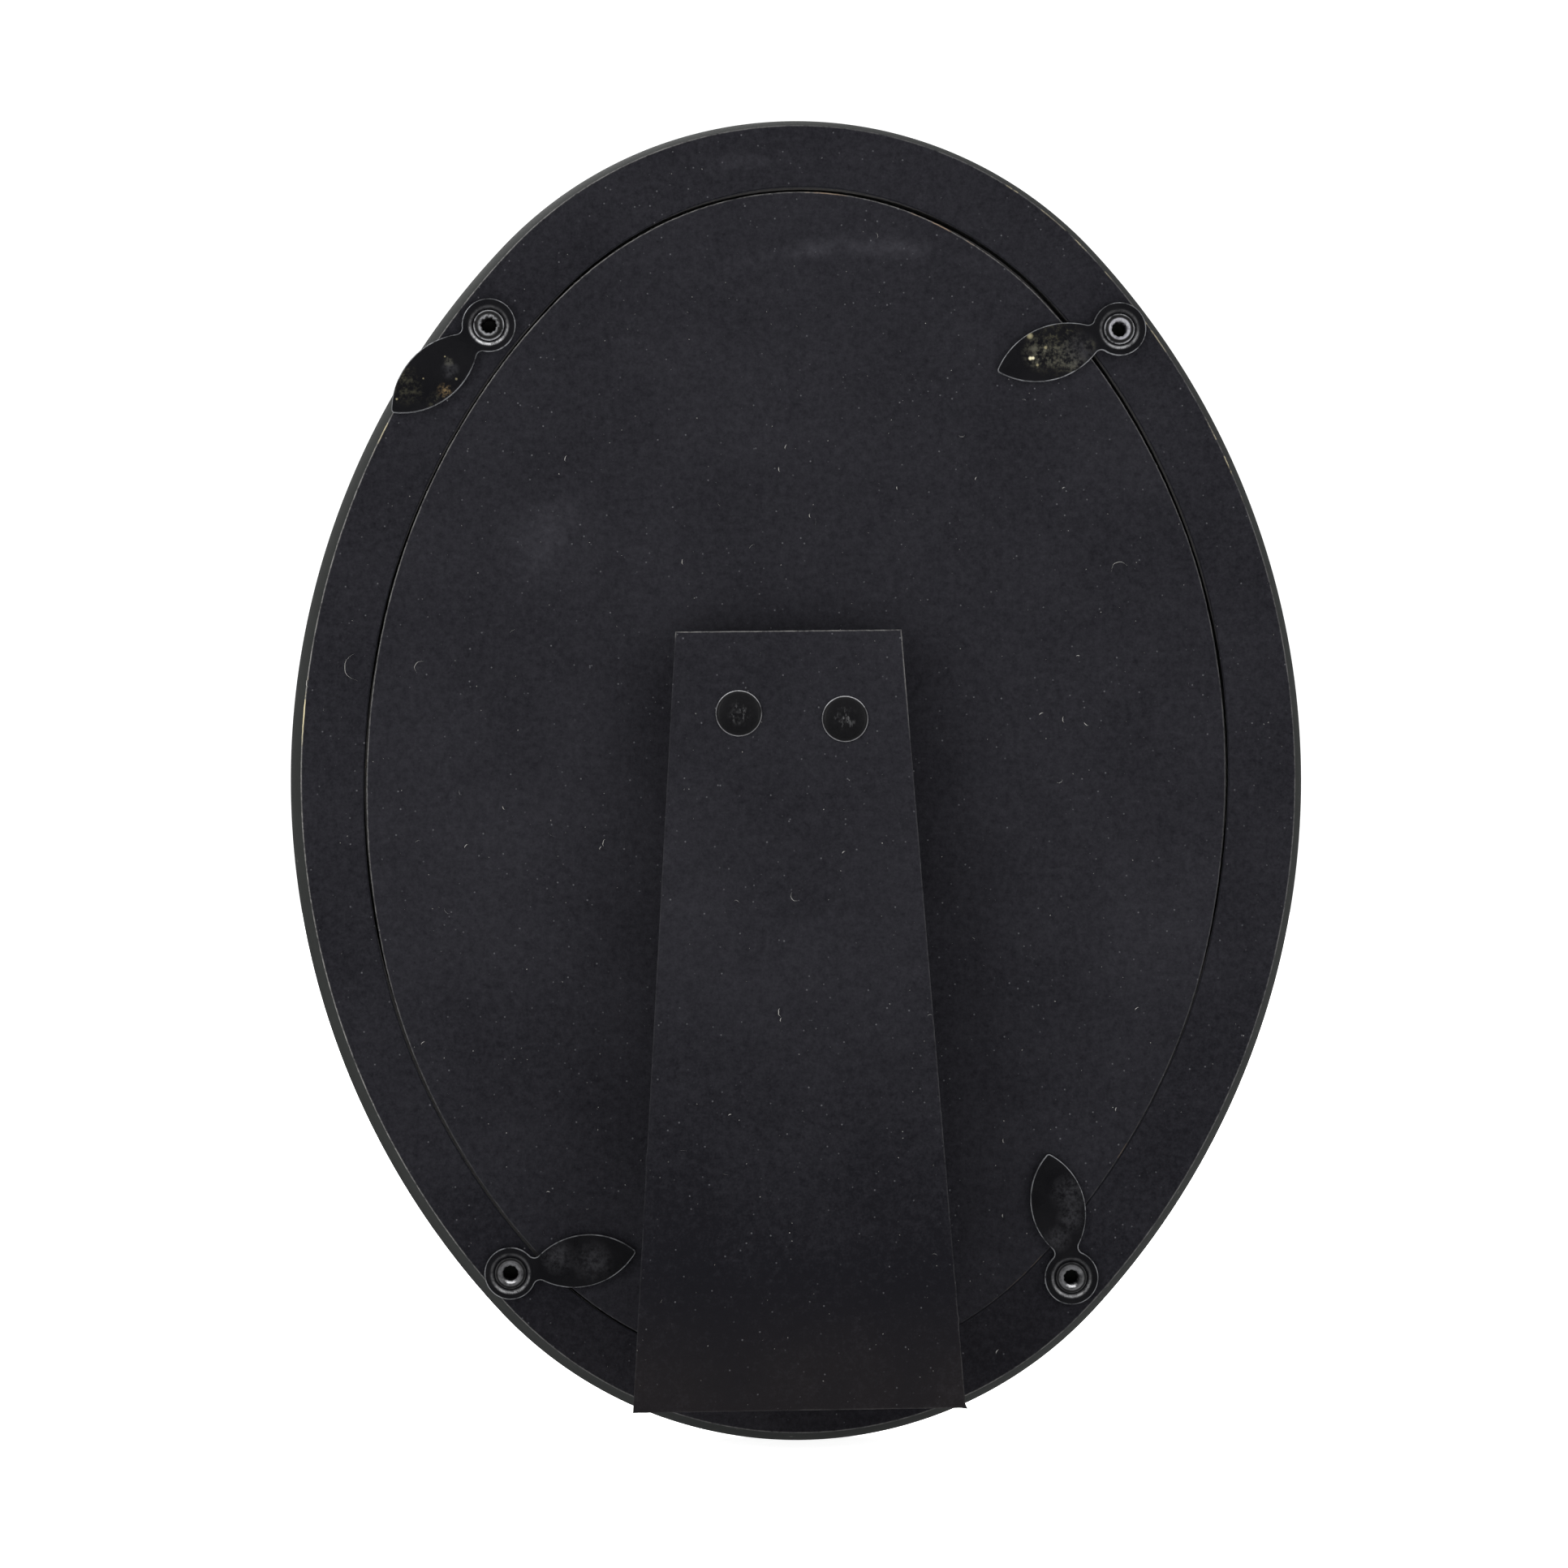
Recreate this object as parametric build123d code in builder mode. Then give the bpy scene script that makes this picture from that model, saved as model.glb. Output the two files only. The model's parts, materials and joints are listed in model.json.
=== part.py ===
from build123d import *

# Oval table-top picture frame: a moulded front, a flocked ring whose four turn buttons hold
# the backing board, and a strut that is hinged to the board.
#
# The frame stands upright: +Z is up, the picture faces -Y and the strut is on the +Y side.
# X = 0 is the middle of the oval, Y = 0 the middle of the whole depth and Z = 0 the lowest
# point. Left and right are as seen from behind. Lengths are in millimetres, angles in degrees.

import os
from math import atan2, cos, degrees, hypot, radians, sin

# Oval of the rabbet, which every other oval runs parallel to: four tangent arcs
rabbet_half_width = 66.5
rabbet_half_height = 90.45
end_radius_share = 0.765  # top and bottom arcs, of the half width

# Front moulding, by distance outwards from the rabbet and depth behind the front face
moulding_depth = 13.0
rim_reach = 12.2  # widest line
rim_depth = 4.6
rim_radius = 2.3
back_reach = 9.9  # outer edge of the back face
crown_width = 1.4  # flat land at the very front
crown_inner_radius = 1.3
crown_step = 0.9  # upright step under the crown's inner side
cove_ledge = 0.7
cove_depth = 6.2  # at the foot of the cove
cove_sag = 1.4  # how far the cove dips below its chord
sight_overlap = 6.0  # how far the lip reaches over the glass
sight_bead_radius = 1.1
sight_bead_step = 0.5
sight_bevel = 0.5
lip_depth = 9.2  # back of the lip, where the glass rests

# Carrier ring, glued behind the moulding
ring_width = 9.65
ring_thickness = 2.6
flock_thickness = 0.4

# Its opening was cut by hand, a little askew, and the board sits in it the same way
opening_side_shift = -0.44  # to the left
opening_drop = 0.2
opening_skew = 1.4  # clockwise, seen from behind

# What the rabbet holds, from the front
glass_thickness = 2.0
glass_clearance = 0.8
glass_bevel = 0.2
card_thickness = 0.3
card_clearance = 1.5
filler_thickness = 1.5
board_thickness = 2.5
board_clearance = 0.5
board_drop = 0.2  # the board has slipped down in the opening

# Turn buttons, stamped from sheet: a disc with a dimple for the eyelet, and a leaf
button_sheet = 0.5
button_lift = 0.4  # of the leaf above the dimple's floor
button_disc_radius = 4.1
button_hole_radius = 1.55
dimple_floor_radius = 2.5
dimple_radius = 3.0
leaf_root = 3.4  # where its sides start, under the disc's edge
leaf_reach = 19.6
leaf_belly = 11.0  # from the eyelet to the widest place
leaf_half_width = 4.15
leaf_tip_radius = 0.5
leaf_neck_radius = 1.0
button_edge_radius = 0.15

# Hollow eyelets that the buttons turn on
eyelet_running_gap = 0.05
eyelet_bore_radius = 1.15
eyelet_flange_radius = 2.35
eyelet_flange_height = 0.6
eyelet_roll_drop = 0.35  # the rolled rim falls this far into the bore
eyelet_foot_radius = 2.6
eyelet_foot_thickness = 0.5
eyelet_foot_gap = 0.1  # round the foot, in its pocket in the carrier ring

# Hinge: two leaves of sheet, rolled round a wire pin
hinge_sheet = 0.6
hinge_pin_radius = 0.8
hinge_pin_gap = 0.05
hinge_pin_overhang = 0.4
hinge_face_gap = 0.3  # between a knuckle and the board or strut that faces it
hinge_leaf_width = 28.0
hinge_middle_knuckle = 13.0
hinge_knuckle_gap = 0.3
hinge_notch_depth = 3.2  # from the pin to the notch beside a knuckle
hinge_corner_radius = 2.0
base_leaf_length = 25.0
strut_leaf_length = 17.0

# Strut, a tapered board with flocked paper on both faces
strut_length = 116.9
strut_top_width = 34.3
strut_foot_width = 49.4
strut_board_thickness = 2.4
strut_foot_rise = 7.35  # of the closed strut's foot, from the frame's lowest point
strut_side_shift = -1.88  # the hinge is off the middle, to the left
strut_skew = 0.65  # and the strut leans out of plumb, its foot to the right
strut_rest_opening = 5.0
strut_full_opening = 30.0
strut_stop_gap = 0.4  # left between the strut's head and the board at full opening

# Rivets of the strut
rivet_pitch = 16.1
rivet_drop = 13.1  # below the strut's head
rivet_side_shift = 0.34
rivet_skew = -3.6  # of the line through both rivets
rivet_shank_radius = 1.5
rivet_shank_gap = 0.05
rivet_head_radius = 3.5
rivet_head_height = 0.9
rivet_rim_height = 0.25
rivet_tail_radius = 2.4
rivet_tail_thickness = 0.5

# Rivets of the base leaf, their tails let into the board's front face
base_rivet_pitch = 18.0
base_rivet_margin = 5.5  # up from the end of the leaf
base_rivet_head_radius = 2.6
base_rivet_head_height = 0.6
base_rivet_tail_gap = 0.1

# Each button: its eyelet's place along the upper or lower half of a side arc, and across the
# ring from the rabbet outwards, and the way its leaf points
buttons = {
    "upper_left": {"side": -1, "arc_share": 0.870, "ring_share": 0.47, "leaf": 222.3},
    "upper_right": {"side": 1, "arc_share": 0.858, "ring_share": 0.58, "leaf": 199.3},
    "lower_left": {"side": -1, "arc_share": -0.956, "ring_share": 0.62, "leaf": 9.7},
    "lower_right": {"side": 1, "arc_share": -0.984, "ring_share": 0.48, "leaf": 100.6},
}

# Sizes that follow from those above
end_radius = end_radius_share * rabbet_half_width
end_shift = rabbet_half_height - end_radius
side_span = rabbet_half_width - end_radius
side_radius = (rabbet_half_width**2 + end_shift**2 - end_radius**2) / (2 * side_span)
side_shift = side_radius - rabbet_half_width
side_angle = degrees(atan2(end_shift, side_shift))

back_depth = moulding_depth + ring_thickness + flock_thickness
card_depth = lip_depth + glass_thickness
filler_depth = card_depth + card_thickness
board_depth = filler_depth + filler_thickness
board_flock_depth = board_depth + board_thickness
board_back_depth = board_flock_depth + flock_thickness

knuckle_radius = hinge_pin_radius + hinge_pin_gap + hinge_sheet
pin_stand_off = knuckle_radius + hinge_face_gap
pin_depth = board_back_depth + pin_stand_off
strut_outer = pin_stand_off + strut_board_thickness + 2 * flock_thickness
full_sine = sin(radians(strut_full_opening))
full_cosine = cos(radians(strut_full_opening))
strut_head = (pin_stand_off * (1 + full_cosine) - strut_stop_gap) / full_sine
strut_reach = strut_length - strut_head
rivet_hole_radius = rivet_shank_radius + rivet_shank_gap
base_rivet_drop = base_leaf_length - base_rivet_margin

rest_sine = sin(radians(strut_rest_opening))
rest_cosine = cos(radians(strut_rest_opening))
whole_depth = pin_depth + strut_reach * rest_sine + strut_outer * rest_cosine
oval_height = rabbet_half_height + rim_reach
pin_height = strut_foot_rise + strut_reach


def behind(depth, across=0, up=0):
    """Plane that faces backwards, at this depth behind the front face of the moulding."""
    return Plane(
        origin=(-across, depth - whole_depth / 2, oval_height + up),
        x_dir=(-1, 0, 0),
        z_dir=(0, 1, 0),
    )


def opening_plane(depth, up=0):
    """Place of the ring's opening, at this depth."""
    straight = behind(depth, opening_side_shift, up - opening_drop)
    return straight * Rotation(0, 0, -opening_skew)


def upright(plane, across=0, up=0):
    """Plane for a section, its X axis and its Y axis along the given plane's X and Z."""
    return Plane(
        origin=plane.from_local_coords((across, up, 0)),
        x_dir=plane.x_dir,
        z_dir=-plane.y_dir,
    )


def draw_oval(growth):
    """Outline parallel to the rabbet, this far outside it."""
    side = side_radius + growth
    end = end_radius + growth
    end_angle = 180 - 2 * side_angle
    CenterArc((-side_shift, 0), side, -side_angle, 2 * side_angle)
    CenterArc((0, end_shift), end, side_angle, end_angle)
    CenterArc((side_shift, 0), side, 180 - side_angle, 2 * side_angle)
    CenterArc((0, -end_shift), end, 180 + side_angle, end_angle)


def keep(piece, name):
    """Labels a finished piece and writes its file."""
    piece.part.label = name
    export_step(piece.part, f"parts/{name}.step")


os.makedirs("parts", exist_ok=True)


# Front moulding: one section carried round the rabbet
def draw_moulding_section():
    """Outline with X outwards from the rabbet and Y backwards from the front face."""
    crown_outer = rim_reach - rim_radius
    crown_inner = crown_outer - crown_width
    crown_foot = crown_inner - crown_inner_radius
    crown_low = crown_inner_radius + crown_step
    cove_outer = crown_foot - cove_ledge
    bead_inner = sight_bevel - sight_overlap
    bead_middle = bead_inner + sight_bead_radius
    bead_outer = bead_middle + sight_bead_radius
    bead_foot = cove_depth - sight_bead_step
    cove_inner = bead_outer + cove_ledge
    cove_run = cove_outer - cove_inner
    cove_rise = cove_depth - crown_low
    sag_share = cove_sag / hypot(cove_run, cove_rise)
    cove_middle = (
        (cove_outer + cove_inner) / 2 + sag_share * cove_rise,
        (cove_depth + crown_low) / 2 + sag_share * cove_run,
    )
    Polyline((0, lip_depth), (0, moulding_depth), (back_reach, moulding_depth))
    TangentArc((rim_reach, rim_depth), (back_reach, moulding_depth), tangent=(0, 1))
    Line((rim_reach, rim_depth), (rim_reach, rim_radius))
    CenterArc((crown_outer, rim_radius), rim_radius, 0, -90)
    Line((crown_outer, 0), (crown_inner, 0))
    CenterArc((crown_inner, crown_inner_radius), crown_inner_radius, -90, -90)
    Polyline((crown_foot, crown_inner_radius), (crown_foot, crown_low), (cove_outer, crown_low))
    ThreePointArc((cove_outer, crown_low), cove_middle, (cove_inner, cove_depth))
    Polyline((cove_inner, cove_depth), (bead_outer, cove_depth), (bead_outer, bead_foot))
    CenterArc((bead_middle, bead_foot), sight_bead_radius, 0, -180)
    Polyline(
        (bead_inner, bead_foot),
        (bead_inner, cove_depth),
        (-sight_overlap, cove_depth + sight_bevel),
        (-sight_overlap, lip_depth),
        (0, lip_depth),
    )


with BuildPart() as front_moulding:
    with BuildLine(behind(0)) as rabbet:
        draw_oval(0)
    start = rabbet.wire() @ 0
    along = rabbet.wire() % 0
    with BuildSketch(Plane(origin=start, x_dir=along.cross(behind(0).z_dir), z_dir=-along)):
        with BuildLine():
            draw_moulding_section()
        make_face()
    sweep(path=rabbet.wire())
keep(front_moulding, "front_moulding")


# Carrier ring and the flocked paper on its back
def button_seat(place, depth):
    """Plane at an eyelet, at this depth, with its X axis along the button's leaf."""
    button = buttons[place]
    bearing = radians(button["arc_share"] * side_angle)
    leaf = radians(button["leaf"])
    arc = side_radius + button["ring_share"] * ring_width
    across = button["side"] * (arc * cos(bearing) - side_shift)
    return Plane(
        origin=behind(depth, across, arc * sin(bearing)).origin,
        x_dir=(-cos(leaf), 0, sin(leaf)),
        z_dir=(0, 1, 0),
    )


with BuildPart() as carrier_ring:
    with BuildSketch(behind(moulding_depth)):
        with BuildLine():
            draw_oval(ring_width)
        make_face()
    extrude(amount=ring_thickness)
    with BuildSketch(opening_plane(moulding_depth)):
        with BuildLine():
            draw_oval(0)
        make_face()
    extrude(amount=ring_thickness, mode=Mode.SUBTRACT)
    for place in buttons:
        with BuildSketch(button_seat(place, moulding_depth)):
            Circle(button_hole_radius)
        extrude(amount=ring_thickness, mode=Mode.SUBTRACT)
        with BuildSketch(button_seat(place, moulding_depth)):
            Circle(eyelet_foot_radius + eyelet_foot_gap)
        extrude(amount=eyelet_foot_thickness + 2 * eyelet_foot_gap, mode=Mode.SUBTRACT)
keep(carrier_ring, "carrier_ring")

with BuildPart() as ring_flock:
    with BuildSketch(behind(moulding_depth + ring_thickness)):
        with BuildLine():
            draw_oval(ring_width)
        make_face()
    extrude(amount=flock_thickness)
    with BuildSketch(opening_plane(moulding_depth + ring_thickness)):
        with BuildLine():
            draw_oval(0)
        make_face()
    extrude(amount=flock_thickness, mode=Mode.SUBTRACT)
    for place in buttons:
        with BuildSketch(button_seat(place, moulding_depth + ring_thickness)):
            Circle(button_hole_radius)
        extrude(amount=flock_thickness, mode=Mode.SUBTRACT)
keep(ring_flock, "ring_flock")


# Glass, picture and filler
with BuildPart() as glass_pane:
    with BuildSketch(behind(lip_depth)):
        with BuildLine():
            draw_oval(-glass_clearance)
        make_face()
    extrude(amount=glass_thickness)
    chamfer(faces().filter_by(Axis.Y).edges(), glass_bevel)
keep(glass_pane, "glass_pane")

with BuildPart() as picture_card:
    with BuildSketch(behind(card_depth)):
        with BuildLine():
            draw_oval(-card_clearance)
        make_face()
    extrude(amount=card_thickness)
keep(picture_card, "picture_card")

with BuildPart() as filler_card:
    with BuildSketch(behind(filler_depth)):
        with BuildLine():
            draw_oval(-card_clearance)
        make_face()
    extrude(amount=filler_thickness)
keep(filler_card, "filler_card")


# Turn buttons
def turn_button(place):
    """Disc and leaf of one sheet, with the dimple let in round the eyelet."""
    seat = button_seat(place, back_depth)
    belly_run = leaf_reach - leaf_belly
    side_arc = (belly_run**2 + leaf_half_width**2) / (2 * leaf_half_width)
    root_run = leaf_belly - leaf_root
    root_half_width = leaf_half_width - side_arc + (side_arc**2 - root_run**2) ** 0.5
    with BuildPart() as button:
        with BuildSketch(seat.offset(button_lift)):
            Circle(button_disc_radius)
            with BuildLine():
                Line((leaf_root, -root_half_width), (leaf_root, root_half_width))
                for side in (1, -1):
                    ThreePointArc(
                        (leaf_root, side * root_half_width),
                        (leaf_belly, side * leaf_half_width),
                        (leaf_reach, 0),
                    )
            make_face()
            fillet(vertices().sort_by(Axis.X)[-1], leaf_tip_radius)
            fillet(vertices().sort_by(Axis.X)[:2], leaf_neck_radius)
            Circle(dimple_radius, mode=Mode.SUBTRACT)
        extrude(amount=button_sheet)
        fillet(faces().sort_by(Axis.Y)[-1].outer_wire().edges(), button_edge_radius)
        with BuildSketch(upright(seat)):
            with BuildLine():
                Polyline(
                    (button_hole_radius, 0),
                    (dimple_floor_radius, 0),
                    (dimple_radius, button_lift),
                    (dimple_radius, button_lift + button_sheet),
                    (dimple_floor_radius, button_sheet),
                    (button_hole_radius, button_sheet),
                    close=True,
                )
            make_face()
        revolve(axis=Axis(seat.origin, seat.z_dir))
    return button


for place in buttons:
    keep(turn_button(place), f"turn_button_{place}")


# Eyelets, from the foot in the carrier ring to the rolled rim over the button
def eyelet(place):
    """Hollow rivet, revolved about its bore."""
    seat = button_seat(place, back_depth)
    radius = button_hole_radius - eyelet_running_gap
    foot = eyelet_foot_gap - ring_thickness - flock_thickness
    rim_low = button_sheet + eyelet_running_gap
    rim_top = rim_low + eyelet_flange_height
    rim_middle = (eyelet_flange_radius + eyelet_bore_radius) / 2
    with BuildPart() as hollow_rivet:
        with BuildSketch(upright(seat)):
            with BuildLine():
                Polyline(
                    (eyelet_bore_radius, rim_top - eyelet_roll_drop),
                    (eyelet_bore_radius, foot),
                    (eyelet_foot_radius, foot),
                    (eyelet_foot_radius, foot + eyelet_foot_thickness),
                    (radius, foot + eyelet_foot_thickness),
                    (radius, rim_low),
                    (eyelet_flange_radius, rim_low),
                )
                ThreePointArc(
                    (eyelet_flange_radius, rim_low),
                    (rim_middle, rim_top),
                    (eyelet_bore_radius, rim_top - eyelet_roll_drop),
                )
            make_face()
        revolve(axis=Axis(seat.origin, seat.z_dir))
    return hollow_rivet


for place in buttons:
    keep(eyelet(place), f"eyelet_{place}")


# Hinge: the axis runs along the X axis of its plane, and the leaves hang down from it
def hinge_plane(opening):
    """Plane on the pin, turned with the strut: X along the pin, Y up, Z out of its back."""
    skew = radians(strut_skew)
    pin = Plane(
        origin=behind(pin_depth, strut_side_shift, pin_height - oval_height).origin,
        x_dir=(-cos(skew), 0, sin(skew)),
        z_dir=(0, 1, 0),
    )
    return pin.rotated((opening, 0, 0))


def pin_section(plane, along):
    """Plane square to the pin, this far along it."""
    return Plane(
        origin=plane.from_local_coords((along, 0, 0)),
        x_dir=plane.y_dir,
        z_dir=plane.x_dir,
    )


closed_plane = hinge_plane(0)
strut_plane = hinge_plane(strut_rest_opening)
leaf_edge = hinge_leaf_width / 2
middle_edge = hinge_middle_knuckle / 2
outer_edge = middle_edge + hinge_knuckle_gap
base_rivet_places = [(side * base_rivet_pitch / 2, -base_rivet_drop) for side in (-1, 1)]
rivet_run = rivet_pitch / 2 * cos(radians(rivet_skew))
rivet_climb = rivet_pitch / 2 * sin(radians(rivet_skew))
rivet_line = strut_head - rivet_drop
rivet_places = [
    (rivet_side_shift + side * rivet_run, rivet_line + side * rivet_climb) for side in (-1, 1)
]


def hinge_leaf(plane, low, length, knuckles, holes):
    """Leaf that lies from low upwards, with knuckles at the given spans along the pin."""
    with BuildPart() as leaf:
        with BuildSketch(plane.offset(low)):
            with BuildLine():
                Polyline(
                    (-leaf_edge, -hinge_notch_depth),
                    (leaf_edge, -hinge_notch_depth),
                    (leaf_edge, -length),
                    (-leaf_edge, -length),
                    close=True,
                )
            make_face()
            fillet(vertices().group_by(Axis.Y)[0], hinge_corner_radius)
            for first, last in knuckles:
                with BuildLine():
                    Polyline(
                        (first, 0),
                        (last, 0),
                        (last, -hinge_notch_depth),
                        (first, -hinge_notch_depth),
                        close=True,
                    )
                make_face()
            with Locations(*holes):
                Circle(rivet_hole_radius, mode=Mode.SUBTRACT)
        extrude(amount=hinge_sheet)
        for first, last in knuckles:
            with BuildSketch(pin_section(plane, first)):
                Circle(knuckle_radius)
            extrude(amount=last - first)
        with BuildSketch(pin_section(plane, -leaf_edge)):
            Circle(hinge_pin_radius + hinge_pin_gap)
        extrude(amount=hinge_leaf_width, mode=Mode.SUBTRACT)
    return leaf


hinge_base_leaf = hinge_leaf(
    closed_plane,
    -pin_stand_off,
    base_leaf_length,
    [(-leaf_edge, -outer_edge), (outer_edge, leaf_edge)],
    base_rivet_places,
)
keep(hinge_base_leaf, "hinge_base_leaf")

hinge_strut_leaf = hinge_leaf(
    strut_plane,
    pin_stand_off - hinge_sheet,
    strut_leaf_length,
    [(-middle_edge, middle_edge)],
    rivet_places,
)
keep(hinge_strut_leaf, "hinge_strut_leaf")

with BuildPart() as hinge_pin:
    with BuildSketch(pin_section(closed_plane, -leaf_edge - hinge_pin_overhang)):
        Circle(hinge_pin_radius)
    extrude(amount=hinge_leaf_width + 2 * hinge_pin_overhang)
keep(hinge_pin, "hinge_pin")


# Backing board and the flocked paper on its back, drilled for the base leaf's rivets
def board_layer(depth, thickness):
    """One layer of the board."""
    drilling = closed_plane.offset(depth - pin_depth)
    with BuildPart() as layer:
        with BuildSketch(opening_plane(depth, -board_drop)):
            with BuildLine():
                draw_oval(-board_clearance)
            make_face()
        extrude(amount=thickness)
        with BuildSketch(drilling):
            with Locations(*base_rivet_places):
                Circle(rivet_hole_radius)
        extrude(amount=thickness, mode=Mode.SUBTRACT)
    return layer


with BuildPart() as backing_board:
    add(board_layer(board_depth, board_thickness).part)
    with BuildSketch(closed_plane.offset(board_depth - pin_depth)):
        with Locations(*base_rivet_places):
            Circle(rivet_tail_radius + base_rivet_tail_gap)
    extrude(amount=rivet_tail_thickness + 2 * base_rivet_tail_gap, mode=Mode.SUBTRACT)
keep(backing_board, "backing_board")

keep(board_layer(board_flock_depth, flock_thickness), "board_flock")


# Strut, in three layers
def strut_layer(low, thickness):
    """Tapered layer, this far above the hinge pin, drilled for the rivets."""
    with BuildPart() as layer:
        with BuildSketch(strut_plane.offset(low)):
            with BuildLine():
                Polyline(
                    (-strut_top_width / 2, strut_head),
                    (strut_top_width / 2, strut_head),
                    (strut_foot_width / 2, -strut_reach),
                    (-strut_foot_width / 2, -strut_reach),
                    close=True,
                )
            make_face()
            with Locations(*rivet_places):
                Circle(rivet_hole_radius, mode=Mode.SUBTRACT)
        extrude(amount=thickness)
    return layer


strut_board_low = pin_stand_off + flock_thickness
strut_board_top = strut_board_low + strut_board_thickness
keep(strut_layer(pin_stand_off, flock_thickness), "strut_flock_inner")
keep(strut_layer(strut_board_low, strut_board_thickness), "strut_board")
keep(strut_layer(strut_board_top, flock_thickness), "strut_flock_outer")


# Rivets, each with a low dome, a shank and a flat tail
def rivet(plane, place, head_radius, head_low, head_height, tail_low):
    """Rivet square to the plane, with its head and its tail this far above the pin."""
    dome_rise = head_height - rivet_rim_height
    dome_radius = (head_radius**2 + dome_rise**2) / (2 * dome_rise)
    head_top = head_low + head_height
    tail_top = tail_low + rivet_tail_thickness
    with BuildPart() as solid_rivet:
        with BuildSketch(upright(plane, *place)):
            with BuildLine():
                Polyline(
                    (0, head_top),
                    (0, tail_low),
                    (rivet_tail_radius, tail_low),
                    (rivet_tail_radius, tail_top),
                    (rivet_shank_radius, tail_top),
                    (rivet_shank_radius, head_low),
                    (head_radius, head_low),
                    (head_radius, head_low + rivet_rim_height),
                )
                RadiusArc((head_radius, head_low + rivet_rim_height), (0, head_top), -dome_radius)
            make_face()
        revolve(axis=Axis(upright(plane, *place).origin, plane.z_dir))
    return solid_rivet


for name, place in zip(("left", "right"), rivet_places):
    tail_low = pin_stand_off - hinge_sheet - rivet_tail_thickness
    strut_rivet = rivet(
        strut_plane, place, rivet_head_radius, strut_outer, rivet_head_height, tail_low
    )
    keep(strut_rivet, f"strut_rivet_{name}")

for name, place in zip(("left", "right"), base_rivet_places):
    leaf_top = hinge_sheet - pin_stand_off
    tail_low = board_depth - pin_depth + base_rivet_tail_gap
    hinge_rivet = rivet(
        closed_plane, place, base_rivet_head_radius, leaf_top, base_rivet_head_height, tail_low
    )
    keep(hinge_rivet, f"hinge_rivet_{name}")
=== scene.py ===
import json
from functools import partialmethod
from math import atan2, ceil, cos, hypot, pi, radians, sin, sqrt

import bmesh
import bpy
import numpy as np
from mathutils import Matrix, Vector, noise
from mathutils.geometry import delaunay_2d_cdt


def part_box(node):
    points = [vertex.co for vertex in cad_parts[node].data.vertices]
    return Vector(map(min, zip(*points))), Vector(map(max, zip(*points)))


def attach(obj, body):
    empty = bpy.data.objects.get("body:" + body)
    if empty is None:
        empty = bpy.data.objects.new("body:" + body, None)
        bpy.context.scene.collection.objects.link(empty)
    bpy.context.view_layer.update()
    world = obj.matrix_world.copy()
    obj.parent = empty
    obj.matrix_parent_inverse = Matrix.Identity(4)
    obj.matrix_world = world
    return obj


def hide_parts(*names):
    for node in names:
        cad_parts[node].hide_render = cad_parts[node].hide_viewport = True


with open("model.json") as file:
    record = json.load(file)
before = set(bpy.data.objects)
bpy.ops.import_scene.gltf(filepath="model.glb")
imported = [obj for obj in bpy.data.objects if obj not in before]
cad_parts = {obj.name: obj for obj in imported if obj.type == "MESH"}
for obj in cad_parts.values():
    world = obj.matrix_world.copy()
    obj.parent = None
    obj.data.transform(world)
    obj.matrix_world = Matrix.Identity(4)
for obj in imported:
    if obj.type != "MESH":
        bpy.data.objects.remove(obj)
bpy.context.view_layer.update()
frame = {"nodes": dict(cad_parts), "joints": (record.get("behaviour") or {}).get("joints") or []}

scene = bpy.context.scene
mm = 0.001  # shapes below are drawn in mm and placed in metres


def newObject(name, data):
    made = bpy.data.objects.new(name, data)
    scene.collection.objects.link(made)
    return made


# Camera first: it stands behind the frame, a little to one side and below the middle
cameraLook = {"place": (0.02066, 0.59987, 0.08801), "tilt": 91.29, "turn": 178.261}
cameraLook |= {"lens": 90.11, "sensor": 36}
camera = newObject("backCamera", bpy.data.cameras.new("backCamera"))
camera.data.lens = cameraLook["lens"]
camera.data.sensor_width = cameraLook["sensor"]
camera.location = cameraLook["place"]
camera.rotation_euler = (radians(cameraLook["tilt"]), 0, radians(cameraLook["turn"]))
scene.camera = camera
scene.view_settings.view_transform = "Standard"
scene.view_settings.look = "None"


# Node trees: a wired socket can be used in sums, and every other node comes from add()
class Wire:
    def __init__(self, board, socket):
        self.board = board
        self.socket = socket

    def out(self, name):
        return Wire(self.board, self.socket.node.outputs[name])

    def sum(self, kind, *others):
        sockets = dict(enumerate((self, *others)))
        return self.board.add("ShaderNodeMath", sockets, {"operation": kind})

    __add__ = __radd__ = partialmethod(sum, "ADD")
    __sub__ = partialmethod(sum, "SUBTRACT")
    __mul__ = __rmul__ = partialmethod(sum, "MULTIPLY")
    __truediv__ = partialmethod(sum, "DIVIDE")
    __pow__ = partialmethod(sum, "POWER")
    size = partialmethod(sum, "ABSOLUTE")
    sign = partialmethod(sum, "SIGN")
    root = partialmethod(sum, "SQRT")
    least = partialmethod(sum, "MINIMUM")
    most = partialmethod(sum, "MAXIMUM")
    below = partialmethod(sum, "LESS_THAN")
    above = partialmethod(sum, "GREATER_THAN")

    def __rsub__(self, other):
        return self.board.add("ShaderNodeMath", {0: other, 1: self}, {"operation": "SUBTRACT"})

    def ramp(self, low, high):  # 0 at low, 1 at high, eased
        ends = {"Value": self, "From Min": low, "From Max": high}
        return self.board.add("ShaderNodeMapRange", ends, {"interpolation_type": "SMOOTHSTEP"})


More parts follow.
